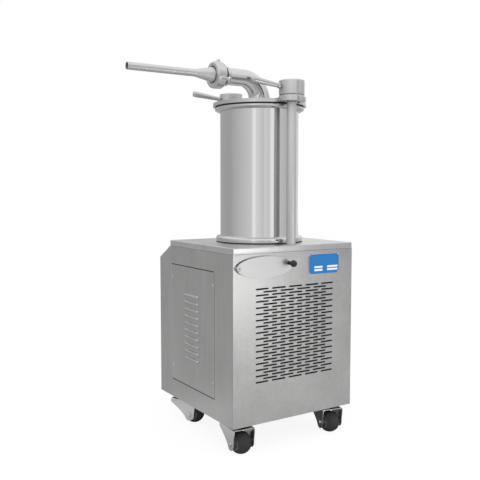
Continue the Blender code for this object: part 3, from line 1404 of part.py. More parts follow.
def build_casters():
    """Place the four casters, each turned to its own heading."""
    plate_top = BASE - GAP
    fork_top = plate_top - CASTER_PLATE_SHEET - RACE_HEIGHT - GAP
    plate_mesh = caster_plate_mesh()
    shared_fork = fork_mesh(fork_top)
    remove_blanks(("plate_blank", "race_blank", "fork_blank", "leg_left", "leg_right"))
    facet = math.pi / WHEEL_STEPS
    reach = 1 / math.cos(facet)
    half = WHEEL_WIDTH / 2
    half_hub = HUB_LENGTH / 2
    wheel = [
        ((WHEEL_RADIUS - WHEEL_SHOULDER_DROP) * reach, half),
        (WHEEL_RADIUS * reach, half - WHEEL_SHOULDER_WIDTH),
        (WHEEL_RADIUS * reach, -half + WHEEL_SHOULDER_WIDTH),
        ((WHEEL_RADIUS - WHEEL_SHOULDER_DROP) * reach, -half),
        (HUB_RADIUS, -half_hub),
        (AXLE_RADIUS + RUNNING_GAP, -half_hub),
        (AXLE_RADIUS + RUNNING_GAP, half_hub),
        (HUB_RADIUS, half_hub),
    ]
    head_start = half_hub + RUNNING_GAP + FORK_SHEET + GAP
    head_end = head_start + AXLE_HEAD_HEIGHT
    axle = [
        (0, head_end),
        (AXLE_HEAD_RADIUS, head_end),
        (AXLE_HEAD_RADIUS, head_start),
        (AXLE_RADIUS, head_start),
        (AXLE_RADIUS, -head_start),
        (AXLE_HEAD_RADIUS, -head_start),
        (AXLE_HEAD_RADIUS, -head_end),
        (0, -head_end),
    ]
    corners = {
        "front_left": (-SIDE + CASTER_SIDE_INSET, FRONT + CASTER_FRONT_INSET),
        "front_right": (SIDE - CASTER_SIDE_INSET, FRONT + CASTER_FRONT_INSET),
        "rear_left": (-SIDE + CASTER_SIDE_INSET, REAR - CASTER_REAR_INSET),
        "rear_right": (SIDE - CASTER_SIDE_INSET, REAR - CASTER_REAR_INSET),
    }
    for corner, (across, along) in corners.items():
        heading = CASTER_HEADINGS[corner]
        plate_place = (across, along, plate_top - CASTER_PLATE_SHEET / 2)
        add_object(f"{corner}_caster_plate", plate_mesh, "black_steel", MACHINE, plate_place, UPRIGHT)
        swivel = empty(f"{corner}_swivel_axis", (across, along, 0), MACHINE, (0, 0, heading))
        add_object(f"{corner}_fork", shared_fork, "zinc_steel", swivel, ORIGIN, UPRIGHT)
        axle_place = (CASTER_TRAIL, 0, WHEEL_RADIUS)
        turned(f"{corner}_axle", axle, AXLE_STEPS, "zinc_steel", swivel, axle_place, TO_FRONT)
        spin = empty(f"{corner}_wheel_axis", axle_place, swivel, (QUARTER, 0, 0))
        turned(f"{corner}_wheel", wheel, WHEEL_STEPS, "tyre_rubber", spin, ORIGIN, (0, 0, QUARTER + facet))


def build_machine():
    """Build every piece of the filler."""
    build_front_panel()
    build_side_panels()
    build_rear_panel()
    build_top_cap()
    build_base_tray()
    build_service_cover()
    build_data_plate()
    build_cable_gland()
    build_lever()
    build_meat_cylinder()
    build_columns()
    hinge = empty("lid_hinge_axis", (0, COLUMN_OFFSET, 0), MACHINE)
    outlet = build_lid(hinge)
    build_nozzle(hinge, outlet)
    build_hand_nut("front", -COLUMN_OFFSET, HANDLE_FRONT_HEADING)
    build_hand_nut("rear", COLUMN_OFFSET, HANDLE_REAR_HEADING)
    build_piston()
    build_barrel()
    build_power_pack()
    build_casters()


build_machine()
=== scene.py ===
"""Look of a floor-standing hydraulic sausage filler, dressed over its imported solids.

Sizes are in metres. Places are given in machine axes, whose origin lies on the floor
under the meat cylinder: the vented control side faces -Y and the nozzle points to -X.
"""
import logging
import math
from dataclasses import dataclass, field
from enum import Enum
from typing import Any, Iterable, Sequence

import bmesh
import bpy
from mathutils import Matrix, Vector


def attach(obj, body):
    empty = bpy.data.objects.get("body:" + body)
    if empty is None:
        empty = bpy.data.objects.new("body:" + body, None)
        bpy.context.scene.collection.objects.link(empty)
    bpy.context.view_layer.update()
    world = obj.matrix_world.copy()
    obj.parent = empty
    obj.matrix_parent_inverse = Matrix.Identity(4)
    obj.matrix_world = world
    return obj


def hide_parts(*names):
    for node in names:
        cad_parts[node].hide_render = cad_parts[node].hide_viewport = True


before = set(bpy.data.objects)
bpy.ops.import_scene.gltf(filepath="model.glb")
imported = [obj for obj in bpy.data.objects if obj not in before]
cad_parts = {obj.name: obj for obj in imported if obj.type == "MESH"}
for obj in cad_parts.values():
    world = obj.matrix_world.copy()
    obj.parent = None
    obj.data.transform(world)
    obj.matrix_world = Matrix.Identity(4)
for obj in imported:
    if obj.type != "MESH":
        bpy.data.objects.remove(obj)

LOG = logging.getLogger("sausage_filler")
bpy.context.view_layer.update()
MACHINE_AXIS = Vector((0.1379, -0.03225, 0.0))
QUARTER = math.pi / 2
FULL_TURN = 2 * math.pi
SHARP_ANGLE = math.radians(32)
BROKEN_ANGLE = math.radians(50)
STRAIGHT_MARGIN = 0.02
ON_AXIS = 1e-6
SAME_PLACE = 1e-6
SAME_PLACE_ON_SHEET = 1e-5
FACE_WEIGHT = 90
DEGREES = 180.0 / math.pi
BLACK = (0.0, 0.0, 0.0, 1.0)
WHITE = (1.0, 1.0, 1.0, 1.0)

Number = float | int
Point2 = tuple[float, float]
Outline = list[Point2]
Corners = Sequence[tuple[float, ...]]
Triple = tuple[float, float, float]
Colour = tuple[float, float, float, float]


class Facing(Enum):
    """Way in which a piece's own +Z axis points."""

    UP = Matrix.Identity(3)
    LEFT = Matrix.Rotation(-QUARTER, 3, "Y")
    RIGHT = Matrix.Rotation(QUARTER, 3, "Y")
    FRONT = Matrix.Rotation(QUARTER, 3, "X")
    REAR = Matrix.Rotation(-QUARTER, 3, "X")
    SIDE = Matrix.Rotation(-QUARTER, 3, "Z") @ Matrix.Rotation(QUARTER, 3, "X")


class Grain(Enum):
    """Way in which a metal surface was worked."""

    ALONG_X = (3.0, 420.0, 420.0)
    ALONG_Y = (420.0, 3.0, 420.0)
    ALONG_Z = (420.0, 420.0, 3.0)
    TURNED = (0.0, 0.0, 0.0)
    EVEN = (90.0, 90.0, 90.0)


# Shader maths


class Signal:
    """A value on its way through a material's nodes."""

    def __init__(self, tree: "ShaderTree", socket: bpy.types.NodeSocket) -> None:
        """Wrap an output socket of a tree."""
        self.tree = tree
        self.socket = socket

    def _math(self, operation: str, *operands: "Signal | Number") -> "Signal":
        """Add a Math node for an operation.

        Args:
            operation: the Math node's operation.
            operands: signals or numbers, in the order of its sockets.

        Returns:
            The node's result.
        """
        values = dict(enumerate(operands))
        return self.tree.node("ShaderNodeMath", {"operation": operation}, values)

    def __add__(self, other: "Signal | Number") -> "Signal":
        """Add a signal or a number."""
        return self._math("ADD", self, other)

    __radd__ = __add__

    def __sub__(self, other: "Signal | Number") -> "Signal":
        """Subtract a signal or a number."""
        return self._math("SUBTRACT", self, other)

    def __rsub__(self, other: Number) -> "Signal":
        """Subtract this signal from a number."""
        return self._math("SUBTRACT", other, self)

    def __mul__(self, other: "Signal | Number") -> "Signal":
        """Multiply by a signal or a number."""
        return self._math("MULTIPLY", self, other)

    __rmul__ = __mul__

    def __truediv__(self, other: "Signal | Number") -> "Signal":
        """Divide by a signal or a number."""
        return self._math("DIVIDE", self, other)

    def __pow__(self, other: Number) -> "Signal":
        """Raise to a power."""
        return self._math("POWER", self, other)

    def __abs__(self) -> "Signal":
        """Drop the sign."""
        return self._math("ABSOLUTE", self)

    def clamped(self) -> "Signal":
        """Keep the value between 0 and 1."""
        return self._math("MINIMUM", self._math("MAXIMUM", self, 0.0), 1.0)


class ShaderTree:
    """A material's or the world's nodes."""

    def __init__(self, owner: bpy.types.Material | bpy.types.World) -> None:
        """Start from an empty tree.

        Args:
            owner: the material or world that the nodes belong to.
        """
        owner.use_nodes = True
        self.tree = owner.node_tree
        self.tree.nodes.clear()

    def node(self, kind: str, settings: dict[str, Any], values: dict[Any, Any], output: Any = 0) -> Signal:
        """Add one node.

        Args:
            kind: the node's type.
            settings: properties that are set before the sockets.
            values: numbers, colours or signals by socket name or index.
            output: name or index of the output that is returned.

        Returns:
            The chosen output.
        """
        made = self.tree.nodes.new(kind)
        for key, value in settings.items():
            setattr(made, key, value)
        for key, value in values.items():
            if isinstance(value, Signal):
                self.tree.links.new(value.socket, made.inputs[key])
            else:
                made.inputs[key].default_value = value
        return Signal(self, made.outputs[output])

    def coordinates(self, kind: str = "Object") -> Signal:
        """Return texture coordinates of a kind."""
        return self.node("ShaderNodeTexCoord", {}, {}, kind)

    def parts(self, vector: Signal) -> tuple[Signal, Signal, Signal]:
        """Split a vector.

        Args:
            vector: the vector's signal.

        Returns:
            Its three components.
        """
        first = self.node("ShaderNodeSeparateXYZ", {}, {0: vector})
        sockets = first.socket.node.outputs
        return first, Signal(self, sockets[1]), Signal(self, sockets[2])

    def joined(self, x: Signal | Number, y: Signal | Number, z: Signal | Number) -> Signal:
        """Join three values to a vector."""
        return self.node("ShaderNodeCombineXYZ", {}, {0: x, 1: y, 2: z})

    def scaled(self, vector: Signal, scale: Sequence[float]) -> Signal:
        """Multiply a vector by three factors."""
        return self.node("ShaderNodeVectorMath", {"operation": "MULTIPLY"}, {0: vector, 1: tuple(scale)})

    def dot(self, vector: Signal, direction: Sequence[float]) -> Signal:
        """Return a vector's share along a direction."""
        settings = {"operation": "DOT_PRODUCT"}
        return self.node("ShaderNodeVectorMath", settings, {0: vector, 1: tuple(direction)}, "Value")

    def noise(self, vector: Signal, scale: float, detail: float) -> Signal:
        """Return smooth noise around 0.5."""
        return self.node("ShaderNodeTexNoise", {}, {"Vector": vector, "Scale": scale, "Detail": detail})

    def blend(self, factor: Signal | Number, first: Any, second: Any) -> Signal:
        """Mix two colours.

        Args:
            factor: 0 for the first colour and 1 for the second.
            first: a colour or a signal.
            second: a colour or a signal.

        Returns:
            The mixed colour.
        """
        values = {0: factor, 6: first, 7: second}
        return self.node("ShaderNodeMix", {"data_type": "RGBA"}, values, 2)

    def close(self, shader: Signal, kind: str = "ShaderNodeOutputMaterial") -> None:
        """End the tree with its output node."""
        made = self.tree.nodes.new(kind)
        self.tree.links.new(shader.socket, made.inputs["Surface"])


def rgba(tone: Sequence[float]) -> Colour:
    """Return a tone as a full colour."""
    return (tone[0], tone[1], tone[2], 1.0)


def scaled_tone(tone: Sequence[float], factor: float) -> Colour:
    """Return a lighter or darker tone as a full colour."""
    return rgba([min(1.0, channel * factor) for channel in tone])


# Finishes


@dataclass(frozen=True)
class Metal:
    """A worked metal surface.

    grain_spread, streak_spread and cloud_spread say how far fine lines, broad strokes
    and patches shift the tone; all of them shift the roughness too.
    """

    name: str
    tone: Triple
    roughness: float
    grain: Grain
    grain_spread: float = 0.10
    cloud_spread: float = 0.10
    line_depth: float = 0.06
    slot: str = "brushed_steel"
    streak_spread: float = 0.0
    cloud_scale: float = 7.0
    cloud_shape: Triple = (1.0, 1.0, 0.55)
    stroke_share: float = 0.7
    stroke_limit: float = 55.0
    turned_scale: float = 900.0
    tone_reach: float = 0.6
    relief: float = 0.0004
    roughness_share: float = 0.6

    def material(self) -> bpy.types.Material:
        """Make the metal's material, once.

        Returns:
            The material.
        """
        if self.name in bpy.data.materials:
            return bpy.data.materials[self.name]
        material = bpy.data.materials.new(self.name)
        tree = ShaderTree(material)
        place = tree.coordinates()
        lines = self._lines(tree, place)
        cloud = tree.noise(tree.scaled(place, self.cloud_shape), self.cloud_scale, 3.0)
        shift = (lines - 0.5) * self.grain_spread + (cloud - 0.5) * self.cloud_spread
        if self.streak_spread:
            stretch = [min(self.stroke_limit, way * self.stroke_share) for way in self.grain.value]
            strokes = tree.noise(tree.scaled(place, stretch), 1.0, 2.0)
            shift = shift + (strokes - 0.5) * self.streak_spread
        dark, light = (scaled_tone(self.tone, 1 + way * self.tone_reach) for way in (-1, 1))
        relief = {"Strength": self.line_depth, "Distance": self.relief, "Height": lines}
        values = {
            "Base Color": tree.blend((shift + 0.5).clamped(), dark, light),
            "Metallic": 1.0,
            "Roughness": (shift * self.roughness_share + self.roughness).clamped(),
            "Normal": tree.node("ShaderNodeBump", {}, relief),
        }
        tree.close(tree.node("ShaderNodeBsdfPrincipled", {}, values))
        return material

    def _lines(self, tree: ShaderTree, place: Signal) -> Signal:
        """Draw the fine lines of the working.

        Args:
            tree: the material's tree.
            place: coordinates on the piece.

        Returns:
            Noise that runs along the lines.
        """
        if self.grain is Grain.TURNED:
            x, y, z = tree.parts(place)
            radius = (x * x + y * y) ** 0.5
            return tree.noise(tree.joined(radius, z, 0.0), self.turned_scale, 2.0)
        return tree.noise(tree.scaled(place, self.grain.value), 1.0, 3.0)


@dataclass(frozen=True)
class Coat:
    """Paint, rubber or plastic: a coloured surface with fine texture and wear."""

    name: str
    tone: Triple
    roughness: float
    texture_scale: float = 160.0
    texture_depth: float = 0.10
    dust: float = 0.08
    dust_tone: Triple = (0.45, 0.44, 0.42)
    clearcoat: float = 0.0
    slot: str = "seal_rubber"
    patch_scale: float = 14.0
    wear_start: float = 0.52
    wear_contrast: float = 3.0
    tone_reach: float = 0.14
    relief: float = 0.0006
    texture_roughness: float = 0.12
    patch_roughness: float = 0.10
    clearcoat_roughness: float = 0.08

    def material(self) -> bpy.types.Material:
        """Make the coat's material, once.

        Returns:
            The material.
        """
        if self.name in bpy.data.materials:
            return bpy.data.materials[self.name]
        material = bpy.data.materials.new(self.name)
        tree = ShaderTree(material)
        place = tree.coordinates()
        fine = tree.noise(place, self.texture_scale, 3.0)
        patches = tree.noise(place, self.patch_scale, 4.0)
        worn = ((patches - self.wear_start) * self.wear_contrast).clamped() * self.dust
        dark, light = (scaled_tone(self.tone, 1 + way * self.tone_reach) for way in (-1, 1))
        relief = {"Strength": self.texture_depth, "Distance": self.relief, "Height": fine}
        rough = (fine - 0.5) * self.texture_roughness + (patches - 0.5) * self.patch_roughness
        values = {
            "Base Color": tree.blend(worn, tree.blend(fine, dark, light), rgba(self.dust_tone)),
            "Roughness": (rough + self.roughness).clamped(),
            "Coat Weight": self.clearcoat,
            "Coat Roughness": self.clearcoat_roughness,
            "Normal": tree.node("ShaderNodeBump", {}, relief),
        }
        tree.close(tree.node("ShaderNodeBsdfPrincipled", {}, values))
        return material


POLISHED = "polished_steel"
TURNED = "turned_steel"
PANEL_STEEL = Metal("panel_steel", (0.53, 0.53, 0.525), 0.34, Grain.ALONG_Z, 0.10, 0.26, streak_spread=0.14)
CAP_STEEL = Metal("cap_steel", (0.65, 0.65, 0.645), 0.30, Grain.ALONG_X, 0.12, 0.30, streak_spread=0.16)
LEVER_STEEL = Metal("lever_steel", (0.92, 0.92, 0.92), 0.44, Grain.ALONG_X, 0.06, 0.05)
MIRROR_STEEL = Metal(
    "mirror_steel", (0.70, 0.70, 0.70), 0.045, Grain.ALONG_Z, 0.05, 0.03, 0.01, POLISHED, 0.04
)
RIM_STEEL = Metal("rim_steel", (0.72, 0.72, 0.715), 0.22, Grain.TURNED, 0.08, 0.05, 0.02, POLISHED)
ELBOW_STEEL = Metal("elbow_steel", (0.74, 0.74, 0.735), 0.11, Grain.EVEN, 0.08, 0.12, 0.02, POLISHED)
NOZZLE_STEEL = Metal("nozzle_steel", (0.84, 0.84, 0.83), 0.40, Grain.ALONG_Z, 0.02, 0.02, 0.0, POLISHED, 0.03)
TURNED_STEEL = Metal("turned_steel", (0.70, 0.70, 0.69), 0.30, Grain.TURNED, 0.22, 0.08, 0.10, TURNED)
NUT_STEEL = Metal("nut_steel", (0.68, 0.68, 0.675), 0.36, Grain.ALONG_Z, 0.14, 0.08, 0.05, TURNED, 0.08)
HANDLE_STEEL = Metal("handle_steel", (0.58, 0.58, 0.575), 0.28, Grain.ALONG_Z, 0.06, 0.08, 0.02, TURNED, 0.14)
COLUMN_STEEL = Metal("column_steel", (0.98, 0.98, 0.97), 0.50, Grain.TURNED, 0.08, 0.04, 0.03, TURNED)
LID_STEEL = Metal("lid_steel", (0.62, 0.62, 0.615), 0.30, Grain.ALONG_X, 0.12, 0.14)
SCREW_STEEL = Metal("screw_steel", (0.74, 0.74, 0.75), 0.24, Grain.TURNED, 0.16, 0.06, 0.10, TURNED)
ZINC = Metal("zinc_plate", (0.74, 0.75, 0.76), 0.30, Grain.EVEN, 0.16, 0.20, 0.06, "zinc_steel")
GROUND_CHROME = Metal("ground_chrome", (0.80, 0.80, 0.81), 0.08, Grain.EVEN, 0.05, 0.03, 0.01, "bright_rod")
BRASS = Metal("gland_brass", (0.70, 0.50, 0.22), 0.28, Grain.EVEN, 0.12, 0.10, 0.05, "brass")
CAST_IRON = Metal("cast_iron", (0.26, 0.27, 0.28), 0.55, Grain.EVEN, 0.30, 0.20, 0.35, "cast_grey")
# Black steel of the real black parts; the same coat paints the shade inside the screw recesses.
BLACK_STEEL_AND_RECESS_SHADE = Coat("black_steel", (0.014, 0.014, 0.015), 0.38, 260.0, 0.15, 0.06, slot="black_steel")
TYRE = Coat("tyre_rubber", (0.022, 0.022, 0.023), 0.46, 420.0, 0.12, 0.10, slot="tyre_rubber")
HUB_PLASTIC = Coat("hub_plastic", (0.075, 0.075, 0.078), 0.40, 300.0, 0.08, 0.10, slot="tyre_rubber")
RING_PLASTIC = Coat("ring_plastic", (0.26, 0.26, 0.265), 0.36, 300.0, 0.06, 0.10, slot="tyre_rubber")
# Near-black rubber of the real gaskets; the same coat also paints the shade and shadow lines round the
# service cover and the shadow behind the coupling nut.
GASKET_RUBBER_AND_PAINTED_SHADE = Coat("gasket_rubber_and_painted_shade", (0.008, 0.008, 0.008), 0.60, 300.0, 0.10, 0.03)
# Near-black coat of the plate behind the vents: painted shade inside the slots.
VENT_SHADE_BLACK = Coat("vent_painted_shade", (0.004, 0.004, 0.004), 0.80, 700.0, 0.40, 0.02)
WHITE_SEAL = Coat("white_seal", (0.74, 0.74, 0.71), 0.45, 240.0, 0.05, 0.06, slot="white_seal")
KNOB_PLASTIC = Coat(
    "knob_plastic", (0.006, 0.006, 0.006), 0.22, 200.0, 0.02, 0.02, clearcoat=0.5, slot="knob_plastic"
)
PLATE_ENAMEL = Coat("plate_enamel", (0.0, 0.170, 0.500), 0.40, 500.0, 0.03, 0.0, slot="plate_blue")
PALE_ENAMEL = Coat("pale_enamel", (0.84, 0.86, 0.88), 0.40, 500.0, 0.03, 0.03, slot="plate_blue")
MACHINE_PAINT = Coat(
    "machine_paint", (0.055, 0.150, 0.270), 0.34, 120.0, 0.30, 0.12, clearcoat=0.2, slot="machine_paint"
)
TANK_PLASTIC = Coat("tank_plastic", (0.66, 0.66, 0.60), 0.48, 90.0, 0.15, 0.12, slot="tank_plastic")
HOSE_RUBBER = Coat("hose_rubber", (0.018, 0.018, 0.019), 0.48, 520.0, 0.30, 0.10)


# Mesh building


def rounded(corners: Corners, steps: int = 5, closed: bool = False) -> Outline:
    """Round the corners of a line.

    Args:
        corners: points as (across, along) or (across, along, radius).
        steps: number of spans in each rounding.
        closed: whether the line returns to its start.

    Returns:
        The points of the rounded line.
    """
    count = len(corners)
    line: Outline = []
    for index, corner in enumerate(corners):
        here = Vector(corner[:2])
        radius = corner[2] if len(corner) > 2 else 0.0
        inner = closed or 0 < index < count - 1
        if radius <= 0 or not inner:
            line.append((here.x, here.y))
            continue
        before = (Vector(corners[index - 1][:2]) - here).normalized()
        after = (Vector(corners[(index + 1) % count][:2]) - here).normalized()
        half = before.angle(after) / 2
        if half > QUARTER - STRAIGHT_MARGIN:
            line.append((here.x, here.y))
            continue
        back = radius / math.tan(half)
        centre = here + (before + after).normalized() * (radius / math.sin(half))
        start = here + before * back - centre
        sweep = (here + after * back - centre).angle_signed(start)
        for step in range(steps + 1):
            turn = Matrix.Rotation(sweep * step / steps, 2)
            point = centre + turn @ start
            line.append((point.x, point.y))
    return line


def arc(centre: Point2, radius: float, start: float, end: float, steps: int) -> Outline:
    """Draw an arc.

    Args:
        centre: its centre.
        radius: its radius.
        start: angle of its first point.
        end: angle of its last point.
        steps: number of spans.

    Returns:
        The points, both ends included.
    """
    points = []
    for index in range(steps + 1):
        angle = start + (end - start) * index / steps
        points.append((centre[0] + radius * math.cos(angle), centre[1] + radius * math.sin(angle)))
    return points


def ring_points(centre: Point2, radius: float, steps: int) -> Outline:
    """Return points round a circle."""
    return arc(centre, radius, 0.0, FULL_TURN * (steps - 1) / steps, steps - 1)


def rectangle(left: float, bottom: float, right: float, top: float) -> Outline:
    """Return the corners of a rectangle."""
    return [(left, bottom), (right, bottom), (right, top), (left, top)]


def machine(x: float, y: float, z: float) -> Vector:
    """Return a place in machine axes as a place in the frame."""
    return MACHINE_AXIS + Vector((x, y, z))


def placed(at: Vector, facing: Facing = Facing.UP) -> Matrix:
    """Return the place of a piece that stands at a point and faces a way."""
    return Matrix.Translation(at) @ facing.value.to_4x4()


def linked(name: str, data: Any) -> bpy.types.Object:
    """Make an object and link it to the scene.

    Args:
        name: the object's name.
        data: its mesh, curve, lamp or lens.

    Returns:
        The linked object.
    """
    obj = bpy.data.objects.new(name, data)
    bpy.context.scene.collection.objects.link(obj)
    return obj


def object_from(name: str, shape: bmesh.types.BMesh) -> bpy.types.Object:
    """Finish a mesh, smooth where its faces meet at a small angle.

    Args:
        name: the object's name.
        shape: the mesh under construction, freed here.

    Returns:
        The linked object.
    """
    bmesh.ops.recalc_face_normals(shape, faces=shape.faces[:])
    mesh = bpy.data.meshes.new(name)
    shape.to_mesh(mesh)
    shape.free()
    mesh.polygons.foreach_set("use_smooth", [True] * len(mesh.polygons))
    mesh.set_sharp_from_angle(angle=SHARP_ANGLE)
    return linked(name, mesh)


def even_out(obj: bpy.types.Object) -> None:
    """Let the large faces of a sheet set its shading.

    Args:
        obj: the sheet's object.
    """
    shading = obj.modifiers.new("Even shading", "WEIGHTED_NORMAL")
    shading.keep_sharp = True
    shading.weight = FACE_WEIGHT


def thicken(obj: bpy.types.Object, thickness: float) -> None:
    """Give a skin the thickness of its sheet, on its inner side.

    Args:
        obj: the skin's object.
        thickness: the sheet's thickness.
    """
    wall = obj.modifiers.new("Sheet", "SOLIDIFY")
    wall.thickness = thickness
    wall.offset = -1.0


def break_edges(obj: bpy.types.Object, width: float, segments: int = 2) -> bpy.types.BevelModifier:
    """Break a piece's sharp edges.

    Args:
        obj: the piece.
        width: width of the broken edge.
        segments: number of facets across it.

    Returns:
        The modifier that breaks them.
    """
    bevel = obj.modifiers.new("Broken edge", "BEVEL")
    bevel.width = width
    bevel.segments = segments
    bevel.angle_limit = BROKEN_ANGLE
    return bevel


def bridge(
    shape: bmesh.types.BMesh, first: Sequence[Any], second: Sequence[Any], closed: bool = True
) -> None:
    """Close the faces between two rows of points.

    Args:
        shape: the mesh to add to.
        first: points of one row.
        second: points of the other row, as many.
        closed: whether the rows run round.
    """
    count = len(first)
    for index in range(count if closed else count - 1):
        following = (index + 1) % count
        shape.faces.new((first[index], first[following], second[following], second[index]))


def add_lathe(
    shape: bmesh.types.BMesh, profile: Corners, steps: int, place: Matrix = Matrix.Identity(4)
) -> None:
    """Turn a profile into a mesh.

    Args:
        shape: the mesh to add to.
        profile: (radius, height) points; a ring if it doesn't start on the axis.
        steps: number of facets round the axis.
        place: where the turned axis stands.
    """
    loops = []
    for radius, height in profile:
        if radius < ON_AXIS:
            loops.append([shape.verts.new(place @ Vector((0, 0, height)))] * steps)
            continue
        loop = []
        for step in range(steps):
            angle = FULL_TURN * step / steps
            point = Vector((radius * math.cos(angle), radius * math.sin(angle), height))
            loop.append(shape.verts.new(place @ point))
        loops.append(loop)
    pairs = list(zip(loops, loops[1:]))
    if profile[0][0] > ON_AXIS:
        pairs.append((loops[-1], loops[0]))
    for upper, lower in pairs:
        for step in range(steps):
            following = (step + 1) % steps
            corners = [upper[step], upper[following], lower[following], lower[step]]
            unique = list(dict.fromkeys(corners))
            if len(unique) > 2:
                shape.faces.new(unique)


def add_tube(
    shape: bmesh.types.BMesh,
    route: Sequence[Vector],
    radii: Sequence[float],
    bores: Sequence[float],
    sides: int,
) -> None:
    """Sweep an open pipe along a route that lies in one plane or bends gently.

    Args:
        shape: the mesh to add to.
        route: the middle line.
        radii: outer radius at each point.
        bores: inner radius at each point.
        sides: facets round the section.
    """
    tangents = []
    for index in range(len(route)):
        before = route[max(index - 1, 0)]
        after = route[min(index + 1, len(route) - 1)]
        tangents.append((after - before).normalized())
    across = tangents[0].orthogonal().normalized()
    outer, inner = [], []
    for index, point in enumerate(route):
        across = (across - tangents[index] * across.dot(tangents[index])).normalized()
        beside = tangents[index].cross(across)
        for rows, sizes in ((outer, radii), (inner, bores)):
            row = []
            for side in range(sides):
                angle = FULL_TURN * side / sides
                offset = across * math.cos(angle) + beside * math.sin(angle)
                row.append(shape.verts.new(point + offset * sizes[index]))
            rows.append(row)
    pairs = list(zip(outer, outer[1:])) + list(zip(inner, inner[1:]))
    for first, second in pairs + [(outer[0], inner[0]), (outer[-1], inner[-1])]:
        bridge(shape, first, second)


def add_block(
    shape: bmesh.types.BMesh, low: Sequence[float], high: Sequence[float], place: Matrix = Matrix.Identity(4)
) -> None:
    """Add a plain block to a mesh.

    Args:
        shape: the mesh to add to.
        low: the block's lowest corner.
        high: its highest corner.
        place: where the corners are measured from.
    """
    first, last = Vector(low), Vector(high)
    matrix = place @ Matrix.Translation((first + last) / 2) @ Matrix.Diagonal((*(last - first), 1.0))
    bmesh.ops.create_cube(shape, size=1.0, matrix=matrix)


def plate(
    name: str, outlines: Sequence[Outline], thickness: float, edge: float = 0.0, segments: int = 2
) -> bpy.types.Object:
    """Cut a plate with holes out of sheet, with its edges broken.

    Args:
        name: the object's name.
        outlines: the outer line and the holes, in the plate's middle plane.
        thickness: the sheet's thickness.
        edge: width of the broken edge.
        segments: number of facets across the broken edge.

    Returns:
        The plate, flat round the origin.
    """
    curve = bpy.data.curves.new(name, "CURVE")
    curve.dimensions = "2D"
    curve.fill_mode = "BOTH"
    curve.extrude = thickness / 2
    for outline in outlines:
        spline = curve.splines.new("POLY")
        spline.points.add(len(outline) - 1)
        spline.use_cyclic_u = True
        for point, (across, along) in zip(spline.points, outline):
            point.co = (across, along, 0.0, 1.0)
    drawn = linked(name + "_line", curve)
    bpy.context.view_layer.update()
    mesh = bpy.data.meshes.new_from_object(drawn.evaluated_get(bpy.context.evaluated_depsgraph_get()))
    bpy.data.objects.remove(drawn)
    shape = bmesh.new()
    shape.from_mesh(mesh)
    bmesh.ops.remove_doubles(shape, verts=shape.verts[:], dist=SAME_PLACE)
    obj = object_from(name, shape)
    if edge > 0:
        bevel = break_edges(obj, edge, segments)
        bevel.limit_method = "ANGLE"
        bevel.harden_normals = True
    return obj


class Assembly:
    """A sub-assembly that builds its pieces and hands them to their bodies."""

    def add(
        self,
        obj: bpy.types.Object,
        place: Matrix,
        body: str,
        finish: Metal | Coat,
        replaced: Iterable[str] = (),
    ) -> None:
        """Place a piece, dress it and let it ride on its body.

        Args:
            obj: the piece.
            place: where it stands.
            body: the body that it moves with.
            finish: its finish.
            replaced: the solids that it stands for.
        """
        obj.matrix_world = place
        obj.data.materials.clear()
        obj.data.materials.append(finish.material())
        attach(obj, body)
        names = list(replaced)
        if names:
            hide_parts(*names)
        LOG.info("%s rides on %s in %s", obj.name, body, finish.name)

    def add_turned(
        self,
        name: str,
        profile: Corners,
        place: Matrix,
        body: str,
        finish: Metal | Coat,
        replaced: Iterable[str] = (),
        facets: int = 96,
    ) -> None:
        """Turn a piece whose origin lies on its axis, and add it.

        Args:
            name: the piece's name.
            profile: (radius, height) points of its section.
            place: where its axis stands.
            body: the body that it moves with.
            finish: its finish.
            replaced: the solids that it stands for.
            facets: number of facets round the axis.
        """
        shape = bmesh.new()
        add_lathe(shape, profile, facets)
        self.add(object_from(name, shape), place, body, finish, replaced)

    def dress(self, node: str, finish: Metal | Coat) -> None:
        """Give a solid that stays its finish.

        Args:
            node: the solid's name.
            finish: its finish.
        """
        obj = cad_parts[node]
        obj.data.materials.clear()
        obj.data.materials.append(finish.material())
        LOG.info("%s keeps its solid in %s", node, finish.name)


# Cabinet


